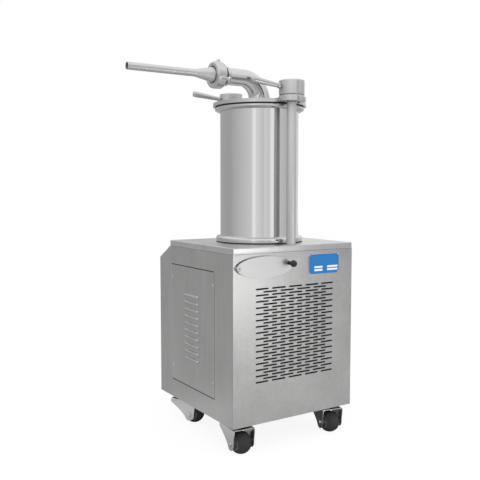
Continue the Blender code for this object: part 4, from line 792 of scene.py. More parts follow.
@dataclass
class Cabinet(Assembly):
    """Sheet-steel cabinet with its vents, top cap and cable gland."""

    half_width: float = 0.2665
    front: float = -0.2355
    cap_rear: float = 0.2355
    rear: float = 0.3265
    base: float = 0.108
    top: float = 0.735
    panel_top: float = 0.7122
    sheet: float = 0.002
    cap_sheet: float = 0.003
    cap_lip: float = 0.022
    cap_edge: float = 0.0028
    vent_rows: int = 31
    vents_in_row: int = 5
    vent_first: float = 0.147
    vent_pitch: float = 0.011
    slot_pitch: float = 0.0743
    slot_length: float = 0.060
    slot_height: float = 0.0060
    field_width: float = 0.347
    # Border, thickness and depth of the near-black plate that paints the shade in the vent slots.
    vent_shade_border: float = 0.008
    vent_shade_sheet: float = 0.0008
    vent_shade_depth: float = 0.0006
    pivot_hole: Triple = (-0.2495, 0.665, 0.0045)
    pin_window: tuple[float, float, float, float] = (-0.1645, 0.6527, -0.1545, 0.6783)
    gland_place: Point2 = (0.1565, 0.173)
    grip_ribs: int = 24
    grip_crest: float = 0.0129
    grip_root: float = 0.0125
    grip_bore: float = 0.0112
    grip_length: float = 0.010
    grip_reach: float = 0.0095
    grip_edge: float = 0.0003

    def build(self) -> None:
        """Build and dress the whole cabinet."""
        self.front_panel()
        # Painted shade behind the vent slots.
        self.paint_vent_shade()
        self.top_cap()
        for node in ("right_panel", "left_panel", "rear_panel", "base_tray"):
            self.dress(node, PANEL_STEEL)
        self.dress("cable_gland", KNOB_PLASTIC)
        self.cable_nut()

    def slot_outline(self, low: float, high: float, height: float) -> Outline:
        """Draw a vent slot with round ends.

        Args:
            low: the slot's left end.
            high: its right end.
            height: height of its middle line.

        Returns:
            The slot's outline.
        """
        radius = self.slot_height / 2
        right = arc((high - radius, height), radius, -QUARTER, QUARTER, 4)
        left = arc((low + radius, height), radius, QUARTER, 3 * QUARTER, 4)
        return right + left

    def front_panel(self) -> None:
        """Cut the front panel with its alternating rows of vent slots."""
        outlines = [rectangle(-self.half_width, self.base, self.half_width, self.panel_top)]
        for row in range(self.vent_rows):
            count = self.vents_in_row - row % 2
            height = self.top - self.vent_first - row * self.vent_pitch
            for index in range(count):
                middle = (index - (count - 1) / 2) * self.slot_pitch
                low = max(middle - self.slot_length / 2, -self.field_width / 2)
                high = min(middle + self.slot_length / 2, self.field_width / 2)
                outlines.append(self.slot_outline(low, high, height))
        outlines.append(ring_points(self.pivot_hole[:2], self.pivot_hole[2], 16))
        outlines.append(rectangle(*self.pin_window))
        panel = plate("front_panel_skin", outlines, self.sheet)
        place = placed(machine(0, self.front + self.sheet / 2, 0), Facing.FRONT)
        self.add(panel, place, "root", PANEL_STEEL, ["front_panel"])

    def paint_vent_shade(self) -> None:
        """Lay a near-black plate just behind the vents: painted shade that darkens the slots."""
        half = self.field_width / 2 + self.vent_shade_border
        high = self.top - self.vent_first + self.vent_shade_border
        low = self.top - self.vent_first - (self.vent_rows - 1) * self.vent_pitch - self.vent_shade_border
        mesh = plate("vent_shade_plate", [rectangle(-half, low, half, high)], self.vent_shade_sheet)
        place = placed(machine(0, self.front + self.sheet + self.vent_shade_depth, 0), Facing.FRONT)
        self.add(mesh, place, "root", VENT_SHADE_BLACK)

    def top_cap(self) -> None:
        """Press the top cap with softly rounded edges and corners."""
        low = machine(-self.half_width, self.front, self.top - self.cap_lip)
        high = machine(self.half_width, self.cap_rear, self.top)
        shape = bmesh.new()
        add_block(shape, (low - high) / 2, (high - low) / 2)
        lost = [face for face in shape.faces if face.normal.z < -0.5]
        bmesh.ops.delete(shape, geom=lost, context="FACES_ONLY")
        rounding = [edge for edge in shape.edges if not edge.is_boundary]
        bmesh.ops.bevel(shape, geom=rounding, offset=self.cap_edge, segments=4, affect="EDGES", profile=0.5)
        cap = object_from("top_cap_skin", shape)
        thicken(cap, self.cap_sheet)
        even_out(cap)
        self.add(cap, placed((low + high) / 2), "root", CAP_STEEL, ["top_cap"])

    def cable_nut(self) -> None:
        """Add the ribbed clamping nut over the mains cable's gland."""
        count = 2 * self.grip_ribs
        roots = ring_points((0, 0), self.grip_root, count)[::2]
        crests = ring_points((0, 0), self.grip_crest, count)[1::2]
        outline = [point for pair in zip(roots, crests) for point in pair]
        rings = [outline, ring_points((0, 0), self.grip_bore, 24)]
        nut = plate("cable_gland_grip", rings, self.grip_length, self.grip_edge)
        across, height = self.gland_place
        place = placed(machine(across, self.rear + self.grip_reach, height), Facing.REAR)
        self.add(nut, place, "root", KNOB_PLASTIC)


@dataclass
class ServiceCover(Assembly):
    """Louvred cover, flush in the left panel, with its four screws."""

    face: float = -0.2665
    front_edge: float = -0.1094
    rear_edge: float = 0.2244
    bottom: float = 0.1816
    top: float = 0.6424
    sheet: float = 0.0015
    louvres: int = 10
    pitch: float = 0.027
    first: float = 0.5390
    field_front: float = 0.0090
    field_rear: float = 0.1190
    spans: int = 18
    rounded_spans: float = 2.0
    layers: int = 6
    lip_height: float = 0.0115
    lip_rise: float = 0.0062
    # Reach, thickness and depth of the dark strip in the cover's seam, which paints the shade in the gap.
    gap_shade_growths: Point2 = (0.0010, -0.0050)
    gap_shade_sheet: float = 0.0002
    gap_shade_depth: float = 0.00015
    # Height and reach of the dark strips over and under the cover, which paint shadow lines along its seams.
    seam_shadow_height: float = 0.0034
    seam_shadow_reach: Point2 = (-0.0002, 0.0004)
    hem: float = 0.0012
    screw_fronts: Point2 = (-0.0965, 0.2175)
    screw_heights: Point2 = (0.591, 0.236)
    screw_profile: Corners = (
        (0.0, 0.0021),
        (0.0040, 0.0019, 0.002),
        (0.0056, 0.0005, 0.0006),
        (0.0056, 0.0),
        (0.0, 0.0),
    )
    # Size and turn of the black cross that paints the shade in the screw's recess.
    recess_low: Triple = (-0.0027, -0.0005, 0.0012)
    recess_high: Triple = (0.0027, 0.0005, 0.0022)
    recess_turn: float = 0.6

    def build(self) -> None:
        """Build the cover, the painted shade and shadow lines round it, its hems and its screws."""
        self.sheet_with_louvres()
        # Painted shade in the seam round the cover.
        self.seal()
        # Painted shadow lines over and under the cover.
        self.seam_shadows()
        self.hems()
        for end, front in zip(("front", "rear"), self.screw_fronts):
            for level, height in zip(("upper", "lower"), self.screw_heights):
                self.screw(f"cover_screw_{end}_{level}", front, height)

    def place(self) -> Matrix:
        """Return the place of a piece that is drawn on the cover's outer face."""
        return placed(machine(self.face, 0, 0))

    def lip_section(self, share: float) -> Point2:
        """Return how far a louvre stands out and drops at a share of its curve."""
        angle = share * QUARTER
        return self.lip_rise * math.sin(angle), self.lip_height * (1 - math.cos(angle))

    def swell(self, index: int) -> float:
        """Return how full a louvre is at a column, rounded off at both ends."""
        nearest = min(index, self.spans - index)
        return math.sqrt(1 - (1 - min(nearest / self.rounded_spans, 1.0)) ** 2)

    def sheet_with_louvres(self) -> None:
        """Press the sheet: each louvre swells out and ends in an open lower lip."""
        shape = bmesh.new()
        pace = (self.field_rear - self.field_front) / self.spans
        columns = [self.field_front + pace * index for index in range(self.spans + 1)]

        def row(height: float) -> list[bmesh.types.BMVert]:
            """Add a line of points across the sheet at a height."""
            places = [self.front_edge] + columns + [self.rear_edge]
            return [shape.verts.new((0.0, place, height)) for place in places]

        previous = row(self.top)
        for index in range(self.louvres):
            crest = self.first - index * self.pitch
            upper = row(crest)
            lower = row(crest - self.lip_height)
            bridge(shape, previous, upper, False)
            bridge(shape, upper[:2], lower[:2], False)
            bridge(shape, upper[-2:], lower[-2:], False)
            last = upper[1:-1]
            for layer in range(1, self.layers + 1):
                out, drop = self.lip_section(layer / self.layers)
                line = []
                for column, place in enumerate(columns):
                    if layer == self.layers and column in (0, self.spans):
                        line.append(lower[column + 1])
                    else:
                        line.append(shape.verts.new((-out * self.swell(column), place, crest - drop)))
                bridge(shape, last, line, False)
                last = line
            previous = lower
        bridge(shape, previous, row(self.bottom), False)
        cover = self.pressed(shape)
        thicken(cover, self.sheet)
        self.add(cover, self.place(), "root", PANEL_STEEL, ["service_cover"])

    def pressed(self, shape: bmesh.types.BMesh) -> bpy.types.Object:
        """Turn the pressed sheet outwards, flat beside the louvres and smooth on them.

        Args:
            shape: the sheet under construction, freed here.

        Returns:
            The sheet's object.
        """
        bmesh.ops.remove_doubles(shape, verts=shape.verts[:], dist=SAME_PLACE_ON_SHEET)
        bmesh.ops.recalc_face_normals(shape, faces=shape.faces[:])
        shape.normal_update()
        if sum(face.normal.x * face.calc_area() for face in shape.faces) > 0:
            bmesh.ops.reverse_faces(shape, faces=shape.faces[:])
        mesh = bpy.data.meshes.new("service_cover_skin")
        shape.to_mesh(mesh)
        shape.free()
        mesh.set_sharp_from_angle(angle=SHARP_ANGLE)
        for face in mesh.polygons:
            places = [mesh.vertices[index].co.x for index in face.vertices]
            face.use_smooth = min(places) < -SAME_PLACE_ON_SHEET
        return linked("service_cover_skin", mesh)

    def seal(self) -> None:
        """Lay a dark strip in the seam round the cover: painted shade in the gap."""
        outlines = []
        for growth in self.gap_shade_growths:
            low, high = self.front_edge - growth, self.rear_edge + growth
            outlines.append(rectangle(low, self.bottom - growth, high, self.top + growth))
        strip = plate("service_cover_gap_shade", outlines, self.gap_shade_sheet)
        place = placed(machine(self.face + self.sheet + self.gap_shade_depth, 0, 0), Facing.SIDE)
        self.add(strip, place, "root", GASKET_RUBBER_AND_PAINTED_SHADE)

    def seam_shadows(self) -> None:
        """Draw dark strips along the seams over and under the cover: painted shadow lines."""
        shape = bmesh.new()
        outside, inside = self.seam_shadow_reach
        for height in (self.bottom, self.top):
            low = (outside, self.front_edge, height - self.seam_shadow_height / 2)
            add_block(shape, low, (inside, self.rear_edge, height + self.seam_shadow_height / 2))
        self.add(object_from("service_cover_seam_shadows", shape), self.place(), "root", GASKET_RUBBER_AND_PAINTED_SHADE)

    def hems(self) -> None:
        """Fold the cover's upright edges over into thin hems."""
        shape = bmesh.new()
        length = self.top - self.bottom
        profile = [(0.0, length), (self.hem, length), (self.hem, 0.0), (0.0, 0.0)]
        for front in (self.front_edge + self.hem, self.rear_edge - self.hem):
            add_lathe(shape, profile, 24, Matrix.Translation((0.0, front, self.bottom)))
        self.add(object_from("service_cover_hems", shape), self.place(), "root", SCREW_STEEL)

    def screw(self, name: str, front: float, height: float) -> None:
        """Set a raised-head screw; a black cross on its head paints the shade in its cross recess.

        Args:
            name: the screw's name.
            front: its place along the cover.
            height: its height.
        """
        place = placed(machine(self.face, front, height), Facing.LEFT)
        self.add_turned(name, rounded(self.screw_profile), place, "root", SCREW_STEEL, facets=32)
        # The cross recess is not cut: a black cross on the head paints the shade in it.
        shape = bmesh.new()
        for turn in (0.0, QUARTER):
            way = Matrix.Rotation(turn + self.recess_turn, 4, "Z")
            add_block(shape, self.recess_low, self.recess_high, way)
        self.add(object_from(name + "_recess", shape), place, "root", BLACK_STEEL_AND_RECESS_SHADE)


@dataclass
class DataPlate(Assembly):
    """Small blue plate with a bright border, four blank fields and four rivets."""

    low_x: float = 0.0563
    high_x: float = 0.2033
    low_z: float = 0.622
    high_z: float = 0.700
    face: float = -0.2368
    clip: float = 0.006
    border: float = 0.0030
    enamel_sheet: float = 0.0003
    enamel_rise: float = 0.0001
    field_sheet: float = 0.0002
    field_rise: float = 0.0003
    field_columns: tuple[Point2, Point2] = ((0.028, 0.066), (0.088, 0.138))
    field_rows: tuple[Point2, Point2] = ((0.0245, 0.0315), (0.0135, 0.0205))
    rivet_inset: float = 0.0062
    rivet_rise: float = 0.0002
    rivet_profile: Corners = (
        (0.0, 0.0016),
        (0.0018, 0.0014, 0.001),
        (0.0030, 0.0002, 0.0004),
        (0.0030, -0.0002),
        (0.0, -0.0002),
    )

    def build(self) -> None:
        """Dress the plate and build its enamel, its blank fields and the rivets."""
        self.dress("data_plate", SCREW_STEEL)
        clip = self.clip
        low_x, high_x = self.low_x + self.border, self.high_x - self.border
        low_z, high_z = self.low_z + self.border, self.high_z - self.border
        outline = [
            (low_x + clip, low_z),
            (high_x - clip, low_z),
            (high_x, low_z + clip),
            (high_x, high_z - clip),
            (high_x - clip, high_z),
            (low_x + clip, high_z),
            (low_x, high_z - clip),
            (low_x, low_z + clip),
        ]
        enamel = plate("data_plate_enamel", [outline], self.enamel_sheet)
        place = placed(machine(0, self.face - self.enamel_rise, 0), Facing.FRONT)
        self.add(enamel, place, "root", PLATE_ENAMEL)
        self.fields()
        for across in (self.low_x + self.rivet_inset, self.high_x - self.rivet_inset):
            for height in (self.low_z + self.rivet_inset, self.high_z - self.rivet_inset):
                name = f"plate_rivet_{round(across * 1000)}_{round(height * 1000)}"
                place = placed(machine(across, self.face - self.rivet_rise, height), Facing.FRONT)
                self.add_turned(name, rounded(self.rivet_profile), place, "root", SCREW_STEEL, facets=24)

    def fields(self) -> None:
        """Lay the blank fields on the enamel, column by column."""
        place = placed(machine(0, self.face - self.field_rise, 0), Facing.FRONT)
        areas = [(column, row) for column in self.field_columns for row in self.field_rows]
        for index, ((start, end), (bottom, top)) in enumerate(areas, 1):
            left, right = self.low_x + start, self.low_x + end
            outline = rectangle(left, self.low_z + bottom, right, self.low_z + top)
            blank = plate(f"data_plate_field_{index}", [outline], self.field_sheet)
            self.add(blank, place, "root", PALE_ENAMEL)


@dataclass
class ControlLever(Assembly):
    """Long oval lever with its pivot screw and ball knob."""

    front: float = -0.2355
    pivot_x: float = -0.2495
    height: float = 0.6655
    length: float = 0.236
    width: float = 0.076
    sheet: float = 0.003
    edge: float = 0.0007
    plate_back: float = 0.0056
    plate_middle: float = -0.1380
    pin_x: float = -0.1595
    pin_profile: Corners = (
        (0.0, 0.027),
        (0.0035, 0.027),
        (0.0040, 0.0265),
        (0.0040, 0.0),
        (0.0, 0.0),
    )
    knob_x: float = -0.0375
    knob_z: float = 0.674
    knob_reach: float = 0.036
    knob_radius: float = 0.0125
    knob_neck: float = 0.0045
    stem_profile: Corners = (
        (0.0, 0.030),
        (0.0040, 0.030),
        (0.0040, 0.0182),
        (0.0066, 0.0182, 0.0006),
        (0.0066, 0.0090, 0.0006),
        (0.0050, 0.0088),
        (0.0, 0.0088),
    )
    head_profile: Corners = (
        (0.0, 0.0127),
        (0.0050, 0.0126, 0.002),
        (0.0084, 0.0100, 0.001),
        (0.0084, 0.0089),
        (0.0, 0.0089),
    )
    # Size and place of the black hexagon that paints the shade in the pivot screw's recess.
    recess_radius: float = 0.0034
    recess_sheet: float = 0.0006
    recess_reach: float = 0.0126

    def build(self) -> None:
        """Build the lever's plate, pin, knob and stem, and its pivot screw."""
        oval = []
        for across, along in ring_points((0, 0), 1.0, 96):
            oval.append((self.plate_middle + across * self.length / 2, self.height + along * self.width / 2))
        handle = plate("lever_plate", [oval], self.sheet, self.edge)
        middle = self.front - self.plate_back - self.sheet / 2
        self.add(handle, placed(machine(0, middle, 0), Facing.FRONT), "lever", LEVER_STEEL, ["control_lever"])
        place = placed(machine(self.pin_x, middle, self.height), Facing.REAR)
        self.add_turned("lever_drive_pin", self.pin_profile, place, "lever", SCREW_STEEL, facets=32)
        self.knob()
        self.dress("lever_bushing", SCREW_STEEL)
        self.screw()

    def knob(self) -> None:
        """Turn the ball knob and its stem with a jam collar."""
        place = placed(machine(self.knob_x, self.front, self.knob_z), Facing.FRONT)
        flat = math.acos(self.knob_neck / self.knob_radius)
        ball = arc((0.0, self.knob_reach), self.knob_radius, QUARTER, -flat, 28)
        ball[0] = (0.0, self.knob_reach + self.knob_radius)
        ball.append((0.0, ball[-1][1]))
        self.add_turned("lever_ball", ball, place, "lever", KNOB_PLASTIC, ["ball_knob"], 64)
        stem = rounded(self.stem_profile, 3)
        self.add_turned("lever_stem", stem, place, "lever", BLACK_STEEL_AND_RECESS_SHADE, ["knob_stem"], 40)

    def screw(self) -> None:
        """Turn the domed pivot screw; a black hexagon on its head paints the shade in its recess."""
        place = placed(machine(self.pivot_x, self.front, self.height), Facing.FRONT)
        head = rounded(self.head_profile, 4)
        self.add_turned("lever_pivot_head", head, place, "root", SCREW_STEEL, ["lever_screw"], 48)
        # A black hexagon on the head paints the shade in the recess.
        recess = plate("lever_pivot_recess_shade", [ring_points((0, 0), self.recess_radius, 6)], self.recess_sheet)
        place = placed(machine(self.pivot_x, self.front - self.recess_reach, self.height), Facing.FRONT)
        self.add(recess, place, "root", BLACK_STEEL_AND_RECESS_SHADE)


# Meat cylinder, columns and clamps


@dataclass
class MeatCylinder(Assembly):
    """Polished meat cylinder with its foot, rim and the gasket under its foot."""

    base: float = 0.7380
    floor: float = 0.7500
    floor_step: float = 0.003
    foot_radius: float = 0.1665
    foot_height: float = 0.020
    wall_radius: float = 0.150
    bore_radius: float = 0.146
    hole_radius: float = 0.0323
    rim_bottom: float = 1.229
    rim_top: float = 1.243
    rim_radius: float = 0.170
    rim_bevel: Point2 = (0.0095, 0.0055)
    rim_overlap: float = 0.0010
    wall_gap: float = 0.0002
    mouth_edge: float = 0.0006
    wall_fillet: float = 0.0025
    foot_shoulder: float = 0.0085
    foot_edge: float = 0.003
    floor_fillet: float = 0.002
    rim_rounds: tuple[float, ...] = (0.0006, 0.0020, 0.003, 0.003, 0.0010)
    gasket_profile: Corners = (
        (0.1655, 0.7377, 0.0008),
        (0.1655, 0.7353, 0.0008),
        (0.1265, 0.7353),
        (0.1265, 0.7377),
    )

    def build(self) -> None:
        """Turn the cylinder, its rim and its gasket."""
        place = placed(machine(0, 0, 0))
        foot_top = self.base + self.foot_height
        wall_top = self.rim_top - self.wall_gap
        profile = rounded(
            [
                (self.bore_radius, self.floor + self.floor_step),
                (self.bore_radius, wall_top, self.mouth_edge),
                (self.wall_radius, wall_top),
                (self.wall_radius, foot_top, self.wall_fillet),
                (self.foot_radius, foot_top, self.foot_shoulder),
                (self.foot_radius, self.base, self.foot_edge),
                (self.hole_radius, self.base),
                (self.hole_radius, self.floor),
                (self.bore_radius - self.floor_step, self.floor, self.floor_fillet),
            ],
            6,
            True,
        )
        self.add_turned("meat_cylinder_skin", profile, place, "root", MIRROR_STEEL, ["meat_cylinder"], 192)
        inner = self.wall_radius - self.rim_overlap
        out, up = self.rim_bevel
        points = [
            (inner, self.rim_top),
            (self.rim_radius, self.rim_top),
            (self.rim_radius, self.rim_bottom + up),
            (self.wall_radius + out, self.rim_bottom),
            (inner, self.rim_bottom),
        ]
        band = rounded([(*point, soft) for point, soft in zip(points, self.rim_rounds)], 6, True)
        self.add_turned("meat_cylinder_rim", band, place, "root", RIM_STEEL, facets=192)
        gasket = rounded(self.gasket_profile, 3, True)
        self.add_turned("base_gasket_ring", gasket, place, "root", GASKET_RUBBER_AND_PAINTED_SHADE, ["base_gasket"], 160)


@dataclass
class Columns(Assembly):
    """Tie columns with their clamp collars, hand nuts and bar handles."""

    offset: float = 0.205
    radius: float = 0.017
    stud_radius: float = 0.012
    stud_bottom: float = 0.712
    foot: float = 0.7353
    shoulder: float = 1.2467
    stud_top: float = 1.305
    stud_edge: float = 0.0012
    shoulder_edge: float = 0.0018
    foot_edge: float = 0.0006
    collar_profile: Corners = (
        (0.0125, 1.2683),
        (0.0440, 1.2683, 0.0008),
        (0.0460, 1.2668, 0.001),
        (0.0460, 1.2620, 0.001),
        (0.0475, 1.2608, 0.0004),
        (0.0475, 1.2603),
        (0.0125, 1.2603),
    )
    nut_bottom: float = 1.2689
    nut_height: float = 0.052
    nut_radius: float = 0.046
    nut_bore: float = 0.0125
    nut_bevel: Point2 = (0.0028, 0.0022)
    nut_rounds: Triple = (0.0030, 0.0010, 0.0006)
    stud_gap: float = 0.0003
    handle_height: float = 0.024
    handle_rise: float = math.radians(8.5)
    handle_reach: float = 0.160
    handle_root: float = 0.004
    handle_skin: float = 0.0016
    handle_profile: Corners = (
        (0.0084, 0.016, 0.02),
        (0.0084, 0.008, 0.001),
        (0.0104, 0.0075, 0.0008),
        (0.0104, 0.0, 0.0008),
        (0.0080, 0.0),
    )
    knob_radii: Point2 = (0.0112, 0.0115)
    knob_rounds: Point2 = (0.0060, 0.004)
    knob_length: float = 0.014
    headings: dict[str, float] = field(
        default_factory=lambda: {"front": math.radians(172), "rear": math.radians(166)}
    )

    def build(self) -> None:
        """Build both columns with what they carry."""
        for side, sign in (("front", -1.0), ("rear", 1.0)):
            depth = sign * self.offset
            place = placed(machine(0, depth, 0))
            self.column(side, place)
            collar = rounded(self.collar_profile, 4, True)
            solids = [f"{side}_clamp_collar"]
            self.add_turned(f"{side}_collar_ring", collar, place, f"{side}_collar", NUT_STEEL, solids)
            self.hand_nut(side, place)
            self.handle(side, depth)

    def column(self, side: str, place: Matrix) -> None:
        """Turn a column with its upper and lower studs.

        Args:
            side: the column's side of the cylinder.
            place: its foot's place on the floor.
        """
        profile = rounded(
            [
                (0.0, self.stud_top),
                (self.stud_radius, self.stud_top, self.stud_edge),
                (self.stud_radius, self.shoulder),
                (self.radius, self.shoulder, self.shoulder_edge),
                (self.radius, self.foot, self.foot_edge),
                (self.stud_radius, self.foot),
                (self.stud_radius, self.stud_bottom),
                (0.0, self.stud_bottom),
            ],
            4,
        )
        self.add_turned(f"{side}_column_bar", profile, place, "root", COLUMN_STEEL, [f"{side}_column"])

    def hand_nut(self, side: str, place: Matrix) -> None:
        """Turn the hand nut, closed on top and bevelled below.

        Args:
            side: the column's side of the cylinder.
            place: the column's place on the floor.
        """
        top = self.nut_bottom + self.nut_height
        inward, up = self.nut_bevel
        top_round, side_round, foot_round = self.nut_rounds
        profile = rounded(
            [
                (0.0, top),
                (self.nut_radius, top, top_round),
                (self.nut_radius, self.nut_bottom + up, side_round),
                (self.nut_radius - inward, self.nut_bottom, foot_round),
                (self.nut_bore, self.nut_bottom),
                (self.nut_bore, self.stud_top + self.stud_gap),
                (0.0, self.stud_top + self.stud_gap),
            ],
        )
        solids = [f"{side}_hand_nut"]
        self.add_turned(f"{side}_nut_body", profile, place, f"{side}_nut", NUT_STEEL, solids, 128)

    def handle(self, side: str, depth: float) -> None:
        """Turn the tapered bar handle with its collar and round end.

        Args:
            side: the column's side of the cylinder.
            depth: the column's place from front to rear.
        """
        slope = math.cos(self.handle_rise)
        start = self.nut_radius / slope - self.handle_root
        skin = self.nut_radius / slope + self.handle_skin
        reach = self.handle_reach / slope
        tip, neck = self.knob_radii
        tip_round, neck_round = self.knob_rounds
        corners: list[tuple[float, ...]] = [(0.0, reach), (tip, reach, tip_round)]
        corners.append((neck, reach - self.knob_length, neck_round))
        corners += [(radius, skin + along, *soft) for radius, along, *soft in self.handle_profile]
        corners += [(self.handle_profile[-1][0], start), (0.0, start)]
        heading = Matrix.Rotation(self.headings[side], 3, "Z")
        tilt = Matrix.Rotation(-self.handle_rise, 3, "Y")
        turn = (heading @ tilt @ Facing.RIGHT.value).to_4x4()
        place = Matrix.Translation(machine(0, depth, self.nut_bottom + self.handle_height)) @ turn
        bar, solids = rounded(corners), [f"{side}_handle"]
        self.add_turned(f"{side}_handle_bar", bar, place, f"{side}_nut", HANDLE_STEEL, solids, 64)


# Lid, elbow and nozzle


@dataclass
class Lid(Assembly):
    """Swing lid with its gasket, outlet elbow and ferrule."""

    bottom: float = 1.2470
    sheet: float = 0.013
    edge: float = 0.0022
    radius: float = 0.1775
    ear_offset: float = 0.205
    ear_radius: float = 0.051
    fillet: float = 0.020
    stud_hole: float = 0.0125
    slot_flare: float = 0.009
    gasket_profile: Corners = (
        (0.1690, 1.2467, 0.001),
        (0.1690, 1.2433, 0.001),
        (0.1560, 1.2433),
        (0.1560, 1.2467),
    )
    elbow_gap: float = 0.0003
    elbow_base: float = 0.0415
    elbow_end: float = 0.0315
    wall: float = 0.0025
    riser: float = 0.012
    bend: float = 0.080
    bend_spans: int = 40
    straight_middle: float = 0.120
    bead_radius: float = 0.0022
    bead_depth: float = 0.0002
    bead_angles: Point2 = (math.pi * 0.9, -0.1)
    ferrule_bore: float = 0.0322
    ferrule_end: float = 0.186
    ferrule_profile: Corners = (
        (0.0322, 0.144),
        (0.0338, 0.144, 0.0005),
        (0.0360, 0.1490, 0.001),
        (0.0360, 0.1585, 0.001),
        (0.0334, 0.1592, 0.0005),
        (0.0334, 0.1708),
    )
    thread_start: float = 0.1712
    thread_pitch: float = 0.003
    thread_profile: Corners = ((0.0342, 0.0), (0.0342, 0.0008), (0.0330, 0.0016), (0.0330, 0.0022))
    lead_in: Corners = ((0.0342, -0.001), (0.0335, 0.0))
    # seal_profile here draws a dark ring behind the coupling nut: painted shadow of the nut, not a seal.
    seal_profile: Corners = (
        (0.0336, 0.1594),
        (0.0350, 0.1598, 0.001),
        (0.0350, 0.1704, 0.001),
        (0.0336, 0.1708),
    )

    def build(self) -> None:
        """Build the lid and all that it carries."""
        disc = plate("lid_disc", self.outlines(), self.sheet, self.edge, 4)
        place = placed(machine(0, 0, self.bottom + self.sheet / 2))
        self.add(disc, place, "lid", LID_STEEL, ["lid"])
        gasket = rounded(self.gasket_profile, 3, True)
        place = placed(machine(0, 0, 0))
        self.add_turned("lid_seal", gasket, place, "lid", GASKET_RUBBER_AND_PAINTED_SHADE, ["lid_gasket"], 160)
        foot = self.bottom + self.sheet + self.elbow_gap
        self.elbow(foot)
        self.ferrule(foot + self.riser + self.bend)

    def outlines(self) -> list[Outline]:
        """Draw the lid from above: a disc that runs into two ears by fillets.

        Returns:
            The outline, with the slot cut into the front ear, and the holes.
        """
        to_fillet = self.radius + self.fillet
        ear_to_fillet = self.ear_radius + self.fillet
        along = (to_fillet**2 + self.ear_offset**2 - ear_to_fillet**2) / (2 * self.ear_offset)
        across = math.sqrt(to_fillet**2 - along**2)
        disc = math.atan2(along, across)
        ear = math.atan2(along - self.ear_offset, across)
        rear = (0.0, self.ear_offset)
        front = (0.0, -self.ear_offset)
        back = math.pi
        low_turn = math.asin(-self.stud_hole / self.ear_radius)
        high_turn = math.asin((self.stud_hole + self.slot_flare) / self.ear_radius)
        points = arc((0, 0), self.radius, -disc, disc, 72)
        points += arc((across, along), self.fillet, disc - back, ear - back, 8)[1:]
        points += arc(rear, self.ear_radius, ear, back - ear, 40)[1:]
        points += arc((-across, along), self.fillet, -ear, -disc, 8)[1:]
        points += arc((0, 0), self.radius, back - disc, back + disc, 72)[1:]
        points += arc((-across, -along), self.fillet, disc, ear, 8)[1:]
        points += arc(front, self.ear_radius, back + ear, 2 * back + low_turn, 36)[1:]
        points += arc(front, self.stud_hole, 3 * QUARTER, QUARTER, 16)
        points += arc(front, self.ear_radius, high_turn, -ear, 4)
        points += arc((across, -along), self.fillet, back - ear, back - disc, 8)[1:-1]
        holes = [ring_points(rear, self.stud_hole, 48), ring_points((0, 0), self.elbow_base - self.wall, 64)]
        return [points] + holes

    def elbow(self, base: float) -> None:
        """Sweep the tapering elbow, with a weld bead at its foot.

        Args:
            base: height of the elbow's foot.
        """
        height = base + self.riser + self.bend
        route = [Vector((0, 0, base)), Vector((0, 0, base + self.riser * 0.5))]
        for across, along in arc((-self.bend, base + self.riser), self.bend, 0.0, QUARTER, self.bend_spans):
            route.append(Vector((across, 0, along)))
        route += [Vector((-self.straight_middle, 0, height)), Vector((-self.ferrule_end, 0, height))]
        shares = [0.0, 0.0] + [index / self.bend_spans for index in range(self.bend_spans + 1)] + [1.0, 1.0]
        radii = [self.elbow_base + (self.elbow_end - self.elbow_base) * share for share in shares]
        shape = bmesh.new()
        add_tube(shape, route, radii, [radius - self.wall for radius in radii], 96)
        pipe = object_from("elbow_pipe", shape)
        self.add(pipe, placed(machine(0, 0, 0)), "lid", ELBOW_STEEL, ["outlet_elbow"])
        bead = arc((self.elbow_base, 0.0), self.bead_radius, *self.bead_angles, 8)
        self.add_turned("elbow_weld", bead, placed(machine(0, 0, base - self.bead_depth)), "lid", SCREW_STEEL)

    def ferrule(self, height: float) -> None:
        """Turn the ferrule with its flange and thread, and a dark ring that paints the nut's shadow on it.

        Args:
            height: height of the outlet's axis.
        """
        corners = list(self.ferrule_profile)
        start = self.thread_start
        while start < self.ferrule_end - self.thread_pitch:
            corners += [(radius, start + along) for radius, along in self.thread_profile]
            start += self.thread_pitch
        corners += [(radius, self.ferrule_end + along) for radius, along in self.lead_in]
        corners.append((self.ferrule_bore, self.ferrule_end))
        place = placed(machine(0, 0, height), Facing.LEFT)
        ring = rounded(corners, 3, True)
        self.add_turned("ferrule_ring", ring, place, "lid", SCREW_STEEL, ["outlet_ferrule"])
        # Dark ring behind the coupling nut: painted shadow.
        self.add_turned("ferrule_shadow_ring", rounded(self.seal_profile, 3, True), place, "lid", GASKET_RUBBER_AND_PAINTED_SHADE)


